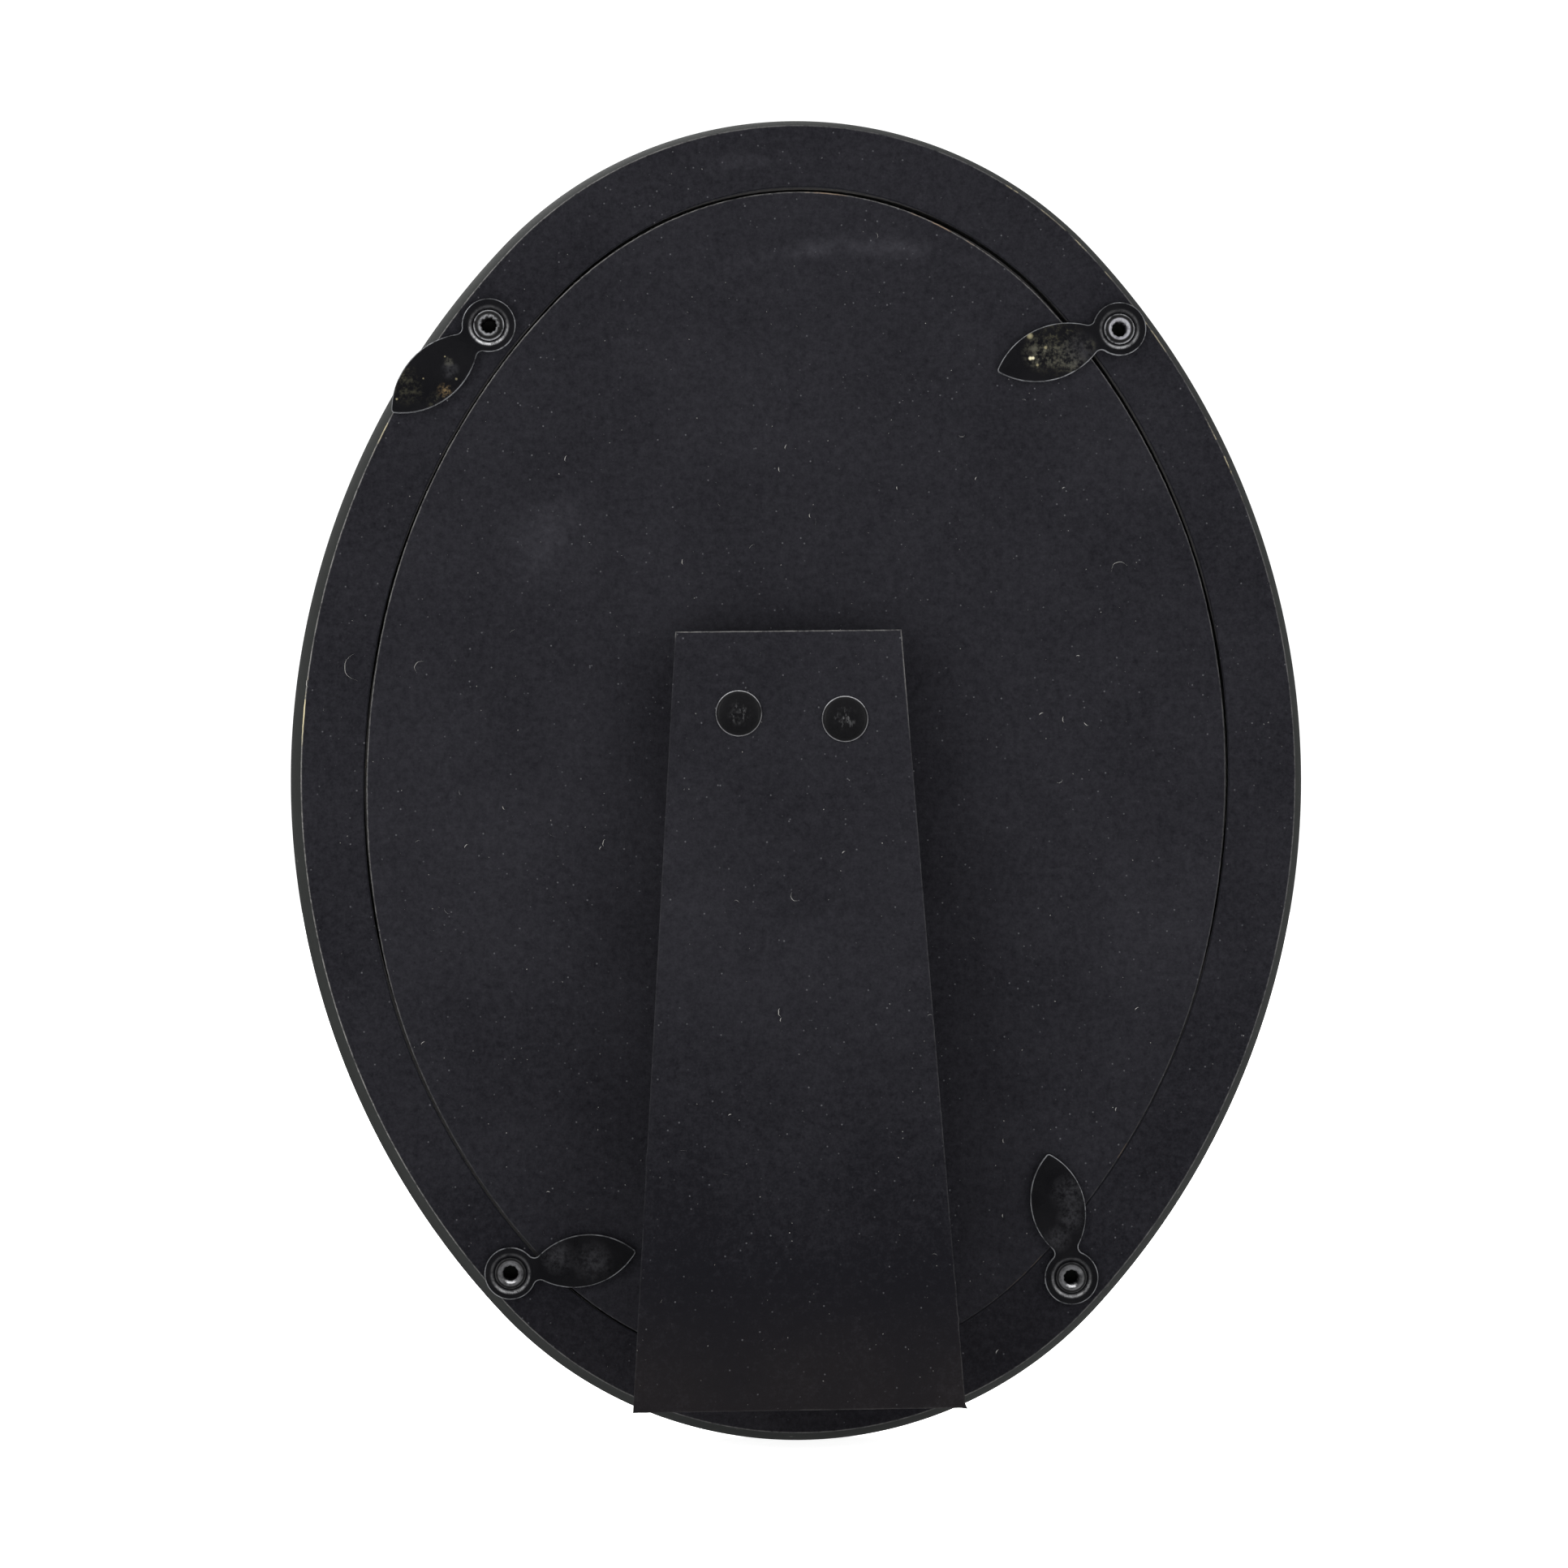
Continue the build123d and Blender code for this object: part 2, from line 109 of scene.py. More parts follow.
class Board:
    def __init__(self, tree):
        self.tree = tree

    def add(self, kind, sockets={}, settings={}, output=0):
        node = self.tree.nodes.new(kind)
        for name, value in settings.items():
            setattr(node, name, value)
        for name, value in sockets.items():
            if isinstance(value, Wire):
                self.tree.links.new(value.socket, node.inputs[name])
            else:
                node.inputs[name].default_value = value
        return Wire(self, node.outputs[output]) if node.outputs else node

    def blend(self, share, first, second):  # each a wire or a red, green and blue
        first, second = (c if isinstance(c, Wire) else (*c, 1) for c in (first, second))
        sockets = {0: share, 6: first, 7: second}
        return self.add("ShaderNodeMix", sockets, {"data_type": "RGBA"}, output=2)


finishes = {}  # every finished material by its name


class Finish(Board):
    def __init__(self, name, seed=0.0):
        self.material = bpy.data.materials.new(name)
        self.material.use_nodes = True
        self.material.node_tree.nodes.clear()
        super().__init__(self.material.node_tree)
        self.shift = (seed, seed, seed)
        self.place = self.add("ShaderNodeTexCoord", output="Object")
        split = self.add("ShaderNodeSeparateXYZ", {0: self.place})
        self.x, self.y, self.z = (split.out(axis) for axis in "XYZ")

    def noise(self, scale, detail=4.0, rough=0.7, squeeze=None):
        vector = self.place
        if squeeze or any(self.shift):
            moved = {"Vector": vector, "Location": self.shift, "Scale": squeeze or (1, 1, 1)}
            vector = self.add("ShaderNodeMapping", moved)
        looks = {"Vector": vector, "Scale": scale, "Detail": detail, "Roughness": rough}
        return self.add("ShaderNodeTexNoise", looks)

    def cells(self, scale):  # distance to scattered points, in cells
        vector = self.add("ShaderNodeMapping", {"Vector": self.place, "Location": self.shift})
        return self.add("ShaderNodeTexVoronoi", {"Vector": vector, "Scale": scale})

    def attribute(self, name):
        return self.add("ShaderNodeAttribute", {}, {"attribute_name": name}, output="Fac")

    def away(self, across, up):  # metres from a place on the back
        dx = self.x + across * mm
        dz = self.z - (up + oval["middle"]) * mm
        return (dx * dx + dz * dz).root()

    def spot(self, across, up, radius):  # 1 at a place on the back, 0 at its radius
        return 1 - self.away(across, up).ramp(0.0, radius * mm)

    def growth(self):  # metres outside the rabbet's oval
        ax = self.x.size()
        az = (self.z - oval["middle"] * mm).size()
        reach = ax + ovalSideShift * mm
        besideSide = az.below(reach * (ovalEndShift / ovalSideShift))
        side = (reach * reach + az * az).root() - ovalSide * mm
        over = az - ovalEndShift * mm
        end = (ax * ax + over * over).root() - ovalEnd * mm
        return besideSide * side + (1 - besideSide) * end

    def paint(self, share, tint):  # one more layer over the colour so far
        self.colour = self.blend(share, self.colour, tint)

    def shade(self, rough, specular, others={}, bump=None, height=0.0):
        sockets = {"Base Color": self.colour, "Roughness": rough, "Specular IOR Level": specular}
        if bump is not None:
            sockets["Normal"] = self.add("ShaderNodeBump", {"Height": bump, "Distance": height})
        shader = self.add("ShaderNodeBsdfPrincipled", sockets | others)
        self.add("ShaderNodeOutputMaterial", {"Surface": shader})
        finishes[self.material.name] = self.material


# The oval of the rabbet, in mm: four tangent arcs, and every other oval runs parallel to it
oval = {"halfWidth": 66.5, "halfHeight": 90.45, "endShare": 0.765, "middle": 102.65}
ovalEnd = oval["halfWidth"] * oval["endShare"]
ovalEndShift = oval["halfHeight"] - ovalEnd
ovalSide = (oval["halfWidth"] ** 2 + ovalEndShift**2 - ovalEnd**2) / (
    2 * (oval["halfWidth"] - ovalEnd)
)
ovalSideShift = ovalSide - oval["halfWidth"]
ovalSideAngle = atan2(ovalEndShift, ovalSideShift)
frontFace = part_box("front_moulding")[0].y
hinge = next(joint for joint in frame["joints"] if joint["name"] == "strut_hinge")


def backPlane(depth):  # across and up from the oval's middle, seen from behind, then out
    y, z = frontFace + depth * mm, oval["middle"] * mm
    return Matrix(((-mm, 0, 0, 0), (0, 0, mm, y), (0, mm, 0, z), (0, 0, 0, 1)))


def hingePlane(opening):  # along the pin, up the strut, then out of its back
    skew, turn = radians(strut["skew"]), radians(opening)
    along = Vector((-cos(skew), 0, sin(skew)))
    plumb, back = Vector((sin(skew), 0, cos(skew))), Vector((0, 1, 0))
    up = plumb * cos(turn) - back * sin(turn)
    out = plumb * sin(turn) + back * cos(turn)
    columns = [axis * mm for axis in (along, up, out)]
    rows = [[c[i] for c in columns] + [hinge["pos_m"][i]] for i in range(3)]
    return Matrix(rows + [[0, 0, 0, 1]])


def arcPoints(cx, cy, radius, start, end, step):  # both ends included, angles in radians
    count = max(2, ceil(abs(end - start) * radius / step))
    angles = np.linspace(start, end, count + 1)
    return np.stack([cx + radius * np.cos(angles), cy + radius * np.sin(angles)], axis=1)


def ovalLoop(growth, step, across=0.0, up=0.0, skew=0.0):
    side, end, turn = ovalSide + growth, ovalEnd + growth, ovalSideAngle
    arcs = [
        arcPoints(-ovalSideShift, 0, side, -turn, turn, step),
        arcPoints(0, ovalEndShift, end, turn, pi - turn, step),
        arcPoints(ovalSideShift, 0, side, pi - turn, pi + turn, step),
        arcPoints(0, -ovalEndShift, end, pi + turn, 2 * pi - turn, step),
    ]
    loop = np.concatenate([arc[:-1] for arc in arcs])
    c, s = cos(radians(skew)), sin(radians(skew))
    return loop @ np.array([(c, s), (-s, c)]) + (across, up)


def ringLoop(cx, cy, radius, step=0.3):
    return arcPoints(cx, cy, radius, 0, 2 * pi, step)[:-1]


def inward(loop):  # mitred steps of one to the left of an anticlockwise loop
    ahead = np.roll(loop, -1, axis=0) - loop
    ahead = ahead / np.linalg.norm(ahead, axis=1)[:, None]
    left = np.stack([-ahead[:, 1], ahead[:, 0]], axis=1)
    before = np.roll(left, 1, axis=0)
    return (left + before) / (1 + (left * before).sum(axis=1))[:, None]


def ragged(loop, amount, grain, seed):  # a cut edge is never quite true
    shift = [noise.noise(Vector((x / grain, y / grain, seed))) for x, y in loop]
    fine = [noise.noise(Vector((x / grain * 3.1, y / grain * 3.1, seed + 5))) for x, y in loop]
    return loop + inward(loop) * (amount * (np.array(shift) + 0.6 * np.array(fine)))[:, None]


def isInside(points, loop):
    ahead = np.roll(loop, -1, axis=0)
    x, y = points[:, 0][:, None], points[:, 1][:, None]
    crosses = (loop[:, 1] > y) != (ahead[:, 1] > y)
    rise = np.where(ahead[:, 1] == loop[:, 1], 1e-12, ahead[:, 1] - loop[:, 1])
    meets = loop[:, 0] + (y - loop[:, 1]) * (ahead[:, 0] - loop[:, 0]) / rise
    return (crosses & (x < meets)).sum(axis=1) % 2 == 1


def fillLoops(outline, holes, inner):  # points and triangles between a loop and its holes
    loops = [outline, *holes]
    points = np.concatenate(loops + ([inner] if len(inner) else []))
    edges, first = [], 0
    for loop in loops:
        edges += [(first + i, first + (i + 1) % len(loop)) for i in range(len(loop))]
        first += len(loop)
    found = delaunay_2d_cdt([Vector(p) for p in points], edges, [], 1, 1e-6)
    source = [origins[0] for origins in found[3]]
    faces = np.array([[source[i] for i in face] for face in found[2]])
    middles = points[faces].mean(axis=1)
    kept = isInside(middles, outline)
    for hole in holes:
        kept &= ~isInside(middles, hole)
    return points, faces[kept]


def level(height):
    return lambda x, y: height + 0 * x


def smooth(mesh, sharp):
    mesh.shade_smooth()
    mesh.set_sharp_from_angle(angle=radians(sharp))


def mark(mesh, name, values):  # a number on every vertex, which finishes and trees read
    layer = mesh.attributes.get(name) or mesh.attributes.new(name, "FLOAT", "POINT")
    layer.data.foreach_set("value", values)


def marked(mesh, name):
    values = np.zeros(len(mesh.vertices))
    mesh.attributes[name].data.foreach_get("value", values)
    return values


def cutSheet(name, outline, holes, top, under, roll, rim, inner=(), edgeShares=(), sharp=40):
    # a sheet cut to an outline, its top edge rolled over, and "edge" is high along the cuts
    bends = [0, 30, 60, 90]
    insets = [0, *(roll * (1 - cos(radians(a))) for a in bends), roll + rim * 0.4, roll + rim]
    drops = [0, *(roll * (1 - sin(radians(a))) for a in bends), 0, 0]
    marks = [1, 1, 1, 1, 0.85, 0.5, 0]
    points, faces, edge, lasts, lows, first = [], [], [], [], [], 0
    for index, loop in enumerate([outline, *holes]):
        normals, count = inward(loop), len(loop)
        edgeShare = edgeShares[index] if index < len(edgeShares) else 1
        for k, (inset, drop, worn) in enumerate(zip(insets, drops, marks)):
            ring = loop + normals * inset
            height = (under if k == 0 else top)(ring[:, 0], ring[:, 1]) - drop
            points.append(np.column_stack([ring, height]))
            edge += list(worn * np.broadcast_to(edgeShare, count))
        for k in range(len(insets) - 1):
            a, b = first + k * count, first + (k + 1) * count
            for i in range(count):
                j = (i + 1) % count
                faces.append((a + i, a + j, b + j, b + i))
        lows.append((first, loop))
        lasts.append((first + (len(insets) - 1) * count, loop + normals * insets[-1]))
        first += len(insets) * count
    for side, ends, height in ((1, lasts, top), (-1, lows, under)):
        filled, triangles = fillLoops(ends[0][1], [e[1] for e in ends[1:]], inner)
        kept = np.concatenate([np.arange(len(loop)) + start for start, loop in ends])
        fresh = filled[len(kept):]
        if len(fresh):
            points.append(np.column_stack([fresh, height(fresh[:, 0], fresh[:, 1])]))
            edge += [0] * len(fresh)
            kept = np.concatenate([kept, np.arange(len(fresh)) + first])
            first += len(fresh)
        faces += [tuple(kept[t][::side]) for t in triangles]
    mesh = bpy.data.meshes.new(name)
    faces = [tuple(map(int, face)) for face in faces]
    mesh.from_pydata(np.concatenate(points).tolist(), [], faces)
    mark(mesh, "edge", edge)
    smooth(mesh, sharp)
    return mesh


def turned(name, profile, steps, shape=None):  # radius, height and "edge" of a profile, lathed
    bm = bmesh.new()
    layer = bm.verts.layers.float.new("edge")
    rings = []
    for radius, height, worn in profile:
        ring = []
        for i in range(steps if radius > 0 else 1):
            angle = 2 * pi * i / steps
            r, h = shape(radius, height, angle) if shape else (radius, height)
            ring.append(bm.verts.new((r * cos(angle), r * sin(angle), h)))
            ring[-1][layer] = worn
        rings.append(ring)
    closed = profile[0][0] > 0 and profile[-1][0] > 0
    for low, high in zip(rings, rings[1:] + (rings[:1] if closed else [])):
        for i in range(steps):
            ends = ((low, i), (low, i + 1), (high, i + 1), (high, i))
            bm.faces.new(list(dict.fromkeys(ring[k % len(ring)] for ring, k in ends)))
    bmesh.ops.recalc_face_normals(bm, faces=bm.faces)
    mesh = meshFrom(name, bm)
    smooth(mesh, 38)
    return mesh


def meshFrom(name, bm):
    mesh = bpy.data.meshes.new(name)
    bm.to_mesh(mesh)
    bm.free()
    return mesh


def joinMeshes(name, meshes):
    bm = bmesh.new()
    for mesh in meshes:
        bm.from_mesh(mesh)
    bmesh.ops.recalc_face_normals(bm, faces=bm.faces)
    return meshFrom(name, bm)


def addPiece(mesh, place, body, slot, finish, *replaced):  # named as its mesh
    if place is not None:
        mesh.transform(place)
    mesh.materials.clear()
    mesh.materials.append(finishes[finish])
    piece = newObject(mesh.name, mesh)
    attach(piece, body)
    if replaced:
        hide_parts(*replaced)
    return piece


# Geometry Nodes trees
def makeTree(name, inputs):
    tree = bpy.data.node_groups.new(name, "GeometryNodeTree")
    tree.interface.new_socket("Geometry", in_out="INPUT", socket_type="NodeSocketGeometry")
    for label, kind in {**inputs, "Material": "Material"}.items():
        tree.interface.new_socket(label, in_out="INPUT", socket_type=f"NodeSocket{kind}")
    tree.interface.new_socket("Geometry", in_out="OUTPUT", socket_type="NodeSocketGeometry")
    board = Board(tree)
    return board, board.add("NodeGroupInput")


def endTree(board, given, geometry):
    whole = board.add("GeometryNodeRealizeInstances", {"Geometry": geometry})
    painted = {"Geometry": whole, "Material": given.out("Material")}
    board.add("NodeGroupOutput", {0: board.add("GeometryNodeSetMaterial", painted)})
    return board.tree


def fromObject(board, given, name):
    sockets = {"Object": given.out(name)}
    return board.add("GeometryNodeObjectInfo", sockets, output="Geometry")


def runTree(name, tree, base, finish, **values):  # the tree's result as a plain mesh
    holder = newObject(name, base)
    modifier = holder.modifiers.new(name, "NODES")
    modifier.node_group = tree
    values["Material"] = finishes[finish]
    helpers = [holder]
    for item in tree.interface.items_tree:
        if item.in_out == "INPUT" and item.name in values:
            value = values[item.name]
            if isinstance(value, (bpy.types.Mesh, bpy.types.Curve)):
                value = newObject(item.name, value)
                helpers.append(value)
            modifier[item.identifier] = value
    graph = bpy.context.evaluated_depsgraph_get()
    mesh = bpy.data.meshes.new_from_object(holder.evaluated_get(graph))
    for helper in helpers:
        bpy.data.objects.remove(helper)
    mesh.name = name
    return mesh


def dotMesh(name, places, turns):  # points for parts to be set on
    mesh = bpy.data.meshes.new(name)
    mesh.from_pydata([tuple(p) for p in places], [], [])
    mark(mesh, "turn", turns)
    return mesh


def mouldingTree():  # an oval of four arcs, with the section carried round it
    floats = dict.fromkeys(("HalfWidth", "HalfHeight", "EndShare"), "Float")
    board, given = makeTree("ovalMoulding", {**floats, "Steps": "Int", "Section": "Object"})
    halfWidth, halfHeight = given.out("HalfWidth"), given.out("HalfHeight")
    end = halfWidth * given.out("EndShare")
    endShift = halfHeight - end
    side = (halfWidth * halfWidth + endShift * endShift - end * end) / (2 * (halfWidth - end))
    sideShift = side - halfWidth
    circle = {"Resolution": given.out("Steps"), "Radius": 1.0}
    circle = board.add("GeometryNodeCurvePrimitiveCircle", circle)
    facing = board.add("ShaderNodeSeparateXYZ", {0: board.add("GeometryNodeInputPosition")})
    x, y = facing.out("X"), facing.out("Y")
    isSide = y.size().below(endShift / (side - end))
    radius = isSide * side + (1 - isSide) * end
    acrossShift = x.sign() * isSide * sideShift
    upShift = y.sign() * (1 - isSide) * endShift
    spots = {"X": x * radius - acrossShift, "Y": y * radius + upShift}
    moved = {"Geometry": circle, "Position": board.add("ShaderNodeCombineXYZ", spots)}
    path = board.add("GeometryNodeSetPosition", moved)
    upright = board.add("GeometryNodeSetCurveNormal", {"Curve": path}, {"mode": "Z_UP"})
    swept = {"Curve": upright, "Profile Curve": fromObject(board, given, "Section")}
    return endTree(board, given, board.add("GeometryNodeCurveToMesh", swept))


def partsTree():  # one part set on every point, turned by the point
    board, given = makeTree("setParts", {"Part": "Object"})
    turn = board.add("GeometryNodeInputNamedAttribute", {"Name": "turn"}, {"data_type": "FLOAT"})
    sockets = {
        "Points": given.out("Geometry"),
        "Instance": fromObject(board, given, "Part"),
        "Rotation": board.add("ShaderNodeCombineXYZ", {"Z": turn}),
    }
    return endTree(board, given, board.add("GeometryNodeInstanceOnPoints", sockets))


def lintTree():  # specks and short hairs that lie anywhere on what faces backwards
    inputs = {"Speck": "Object", "Hair": "Object", "SpeckDensity": "Float", "HairDensity": "Float"}
    board, given = makeTree("scatterLint", {**inputs, "Facing": "Vector", "Seed": "Int"})

    def random(low, high, seed):
        sockets = {2: low, 3: high, 8: seed}
        return board.add("FunctionNodeRandomValue", sockets, {"data_type": "FLOAT"}, output=1)

    ends = {0: board.add("GeometryNodeInputNormal"), 1: given.out("Facing")}
    along = board.add("ShaderNodeVectorMath", ends, {"operation": "DOT_PRODUCT"}, output="Value")
    flat = along.above(0.995)
    joined = board.add("GeometryNodeJoinGeometry")
    for shift, kind, spread in ((0, "Speck", (0.35, 1.25)), (40, "Hair", (0.5, 1.3))):
        seed = given.out("Seed") + shift
        sockets = {"Mesh": given.out("Geometry"), "Selection": flat, "Seed": seed}
        sockets["Density"] = given.out(kind + "Density")
        dots = board.add("GeometryNodeDistributePointsOnFaces", sockets)
        spin = random(0.0, 2 * pi, seed)
        wide = random(*spread, seed + 7)
        bend = random(-1.2, 1.2, seed + 9)
        spin = board.add("FunctionNodeAxisAngleToRotation", {"Axis": (0, 0, 1), "Angle": spin})
        turns = {0: dots.out("Rotation"), 1: spin}
        sockets = {
            "Points": dots,
            "Instance": fromObject(board, given, kind),
            "Rotation": board.add("FunctionNodeRotateRotation", turns, {"rotation_space": "LOCAL"}),
            "Scale": board.add("ShaderNodeCombineXYZ", {"X": wide, "Y": wide * bend, "Z": wide}),
        }
        strewn = board.add("GeometryNodeInstanceOnPoints", sockets)
        board.tree.links.new(strewn.socket, joined.socket.node.inputs[0])
    return endTree(board, given, joined)


# Finishes
napLook = {
    "dark": (0.005, 0.0049, 0.0066), "light": (0.025, 0.0247, 0.0295),
    "dust": (0.13, 0.13, 0.14), "foot": (0.026, 0.0205, 0.0165), "fuzzAndHighlight": (0.25, 0.245, 0.235),
    "bare": (0.26, 0.175, 0.11), "chipped": (0.62, 0.54, 0.34), "tone": 0.345,
    "napScale": 2600, "tuftScale": 900, "cloudScale": 42, "brushScale": 150, "dustScale": 720,
    "sheenTint": (0.8, 0.83, 0.95, 1), "bump": 0.00006,
}


def blackNap(name, scuffs=(), bareSpots=(), seed=0.0, lift=0.0, footShadeAndTint=0.0, bare="bare"):
    f = Finish(name, seed)
    nap = f.noise(napLook["napScale"], 3.0, 0.75)
    tuft = f.noise(napLook["tuftScale"], 2.0, 0.6)
    cloud = f.noise(napLook["cloudScale"], 4.0, 0.6)
    brushed = f.noise(napLook["brushScale"], 3.0, 0.6, squeeze=(1, 1, 6))
    tone = napLook["tone"] + (nap - 0.5) * 0.85 + (tuft - 0.5) * 0.55
    tone = tone + (cloud - 0.5) * 0.5 + (brushed - 0.5) * 0.12
    # painted shade: the nap is made darker towards the bottom of the frame
    tone = tone + lift - f.z.ramp(0.08, 0.015) * footShadeAndTint
    for across, up, radius, width, window, gain in scuffs:
        off = (f.away(across, up) - radius * mm).size()
        smudge = (1 - off.ramp(0, width * mm)) * f.spot(*window) * (0.4 + tuft)
        tone = tone + smudge * f.noise(110).ramp(0.36, 0.62) * gain
    edge = f.attribute("edge")
    # frayed fibres and painted highlight: the cut edges are lighter, most where they face the light
    frayAndHighlight = edge.most(0) * (nap * 0.6 + f.noise(330, 3.0, 0.7)).ramp(0.48, 1.0)
    openingShade = edge.least(0) * -1  # an edge below nought is darkened: painted shade where the ring's opening drops into the groove
    f.colour = f.blend(tone - openingShade * 0.3, napLook["dark"], napLook["light"])
    dust = 1 - f.cells(napLook["dustScale"]).ramp(0.03, 0.13)
    dust = dust * f.noise(700, 2.0, 0.5).ramp(0.43, 0.6)
    f.paint(dust * 0.55, napLook["dust"])
    # along with the painted shade, the nap turns browner in clouds at the very bottom
    f.paint(f.z.ramp(0.03, 0.008) * footShadeAndTint * cloud, napLook["foot"])
    f.paint(frayAndHighlight * 0.75, napLook["fuzzAndHighlight"])
    for spot in bareSpots:
        worn = f.spot(*spot) * edge.most(0) * f.noise(300, 3.0, 0.7).ramp(0.47, 0.56)
        f.paint(worn, napLook[bare])
    sheen = {"Sheen Weight": 0.06, "Sheen Roughness": 0.45, "Sheen Tint": napLook["sheenTint"]}
    f.shade(0.86 + nap * 0.14, 0.06, sheen, nap + tuft * 1.5, napLook["bump"])


def blackLacquer(name):  # satin lacquer on the moulding, thin where hands and shelves rub
    f = Finish(name)
    growth = f.growth()
    depth = f.y - frontFace
    peel = f.noise(900, 2.0, 0.5)
    cloud = f.noise(60, 4.0, 0.6)
    fine = f.noise(3000, 3.0, 0.7)
    crown = (1 - depth.ramp(0, 0.0007)) * (growth - 0.0092).size().ramp(0.0012, 0.0004)
    widest = growth.ramp(0.01185, 0.01222)
    rubbed = (f.noise(240, 5.0, 0.75) + fine * 0.25).ramp(0.66, 0.84)
    rubbed = crown.most(widest * 0.45) * rubbed
    nicks = (1 - f.cells(300).ramp(0.04, 0.12)) * f.noise(90, 2.0, 0.5).ramp(0.58, 0.7)
    outside = growth.ramp(0.008, 0.0092).most(depth.ramp(0.0085, 0.0095))
    turnedAway = depth.ramp(0.0022, 0.0042) * outside
    shown = 1 - turnedAway  # the sides and back never got the last coat
    f.colour = f.blend(cloud, (0.0125, 0.0135, 0.013), (0.02, 0.0215, 0.0205))
    f.paint(shown * 0.85, (0.0058, 0.0062, 0.0064))
    f.paint(rubbed * 0.45, (0.11, 0.098, 0.078))
    f.paint(nicks * 0.5, (0.11, 0.105, 0.095))
    dull = turnedAway * depth.ramp(0.0035, 0.008)
    rough = 0.38 + dull * 0.34 + cloud * 0.12 + rubbed * 0.15 + fine * 0.06
    coat = shown * (0.85 - rubbed * 0.5 + cloud * 0.2)
    coat = {"Coat Weight": coat, "Coat Roughness": 0.17, "Coat IOR": 1.48}
    f.shade(rough, 0.12, coat, peel + fine * 0.25, 0.00003)


def fibreboard(name, stained, seed=0.0):  # pressed fibres, their cut edges stained black
    f = Finish(name, seed)
    fibre = f.noise(900, 5.0, 0.75, squeeze=(1, 3.5, 1))
    fleck = f.noise(2600, 3.0, 0.7)
    cloud = f.noise(70, 4.0, 0.6)
    raw = f.blend(fibre, (0.105, 0.068, 0.038), (0.3, 0.215, 0.135))
    black = f.blend(fleck, (0.01, 0.01, 0.011), (0.034, 0.032, 0.031))
    missed = fibre * 0.6 + cloud * 0.5 + fleck * 0.25
    missed = missed.ramp(0.74 + stained * 0.1, 0.92 + stained * 0.1)
    f.colour = f.blend(missed, black, raw)
    f.shade(0.78 + fleck * 0.2, 0.25, {}, fibre + fleck, 0.00008)


patchKinds = {  # where the noise shows it, how strongly, and its colour
    "olive": (0.52, 0.7, 0.8, (0.034, 0.0325, 0.022)),
    "moss": (0.48, 0.7, 0.8, (0.076, 0.074, 0.057)),
    # grey is lighter grey; on the lower leaves it is painted sheen along the leaf's curve
    "grey": (0.44, 0.68, 0.85, (0.025, 0.025, 0.028)),
    "rust": (0.52, 0.64, 0.85, (0.115, 0.08, 0.04)),
    "tan": (0.42, 0.56, 0.7, (0.28, 0.25, 0.15)),
    "straw": (0.34, 0.46, 0.95, (0.66, 0.61, 0.42)),
}


def buttonEnamel(name, patches, seed):  # stove enamel on stamped sheet, gone dull in patches
    f = Finish(name, seed)
    edge = f.attribute("edge")
    fine = f.noise(2400)
    patch = f.noise(860, 5.0, 0.8)
    haze = f.noise(170, 3.0, 0.6)
    f.colour = f.blend(haze, (0.0026, 0.0026, 0.0033), (0.008, 0.008, 0.009))
    dull = haze * 0.3
    for across, up, radius, kind in patches:
        low, high, weight, tint = patchKinds[kind]
        here = f.spot(across, up, radius) ** 0.6 * (patch * 0.75 + fine * 0.35).ramp(low, high)
        f.paint(here * weight, tint)
        dull = dull + here * 0.5
    worn = edge * (f.noise(700) + fine * 0.2).ramp(0.36, 0.72)
    worn = worn * (0.45 + f.noise(230, 2.0, 0.5).ramp(0.36, 0.62) * 0.75)
    f.paint(worn * 0.85, (0.22, 0.225, 0.235))
    # painted highlight: a white glint on the dimple's lip
    glint = f.attribute("lip") * (patch + fine * 0.3).ramp(0.4, 0.8)
    f.paint(glint, (0.9, 0.9, 0.92))
    rough = 0.22 + dull * 0.4 + worn * 0.12
    bump = haze * 1.5 + fine * 0.3 + patch * 0.5
    f.shade(rough, 0.06, {"Metallic": worn * 0.4}, bump, 0.00004)


def eyeletEnamel(name):  # each has lost its enamel in its own way
    f = Finish(name)
    edge, far = f.attribute("edge"), f.attribute("far")
    fine = f.noise(2600)
    patch = f.noise(620)
    lower, glint = 0.0, 0.0
    for place in ("lower_left", "lower_right"):
        across, up = eyeletSpots[place]
        lower = lower + f.spot(across, up, 3.0).ramp(0.0, 0.05)
        glint = glint + f.spot(across, up - 1.5, 1.3).ramp(0.0, 0.6)
    upperRight = f.spot(*eyeletSpots["upper_right"], 3.0).ramp(0.0, 0.05)
    barrel = far.ramp(1.05, 1.25) * (1 - far.ramp(1.86, 2.04)) * lower
    barrel = barrel * (patch * 1.3).ramp(0.3, 0.95)
    throat = far.ramp(1.12, 1.25) * (1 - far.ramp(1.55, 1.8)) * upperRight * (0.3 + patch)
    # painted highlight: a near-white glint on the lower inner lip of the two lower eyelets
    innerLipGlint = far.ramp(1.1, 1.22) * (1 - far.ramp(1.42, 1.55)) * glint * patch.ramp(0.35, 0.6)
    worn = edge * (patch + fine * 0.3).ramp(0.42, 0.76) * (1 - lower * 0.92)
    f.colour = f.blend(patch, (0.003, 0.003, 0.0033), (0.01, 0.0098, 0.01))
    f.paint(barrel, (0.095, 0.095, 0.099))
    f.paint(throat, (0.23, 0.225, 0.255))
    f.paint(worn * 0.9, (0.42, 0.425, 0.44))
    f.paint(innerLipGlint, (0.85, 0.85, 0.87))
    rough = 0.28 + fine * 0.16
    f.shade(rough, 0.1, {"Metallic": worn * 0.5}, fine + patch, 0.00003)


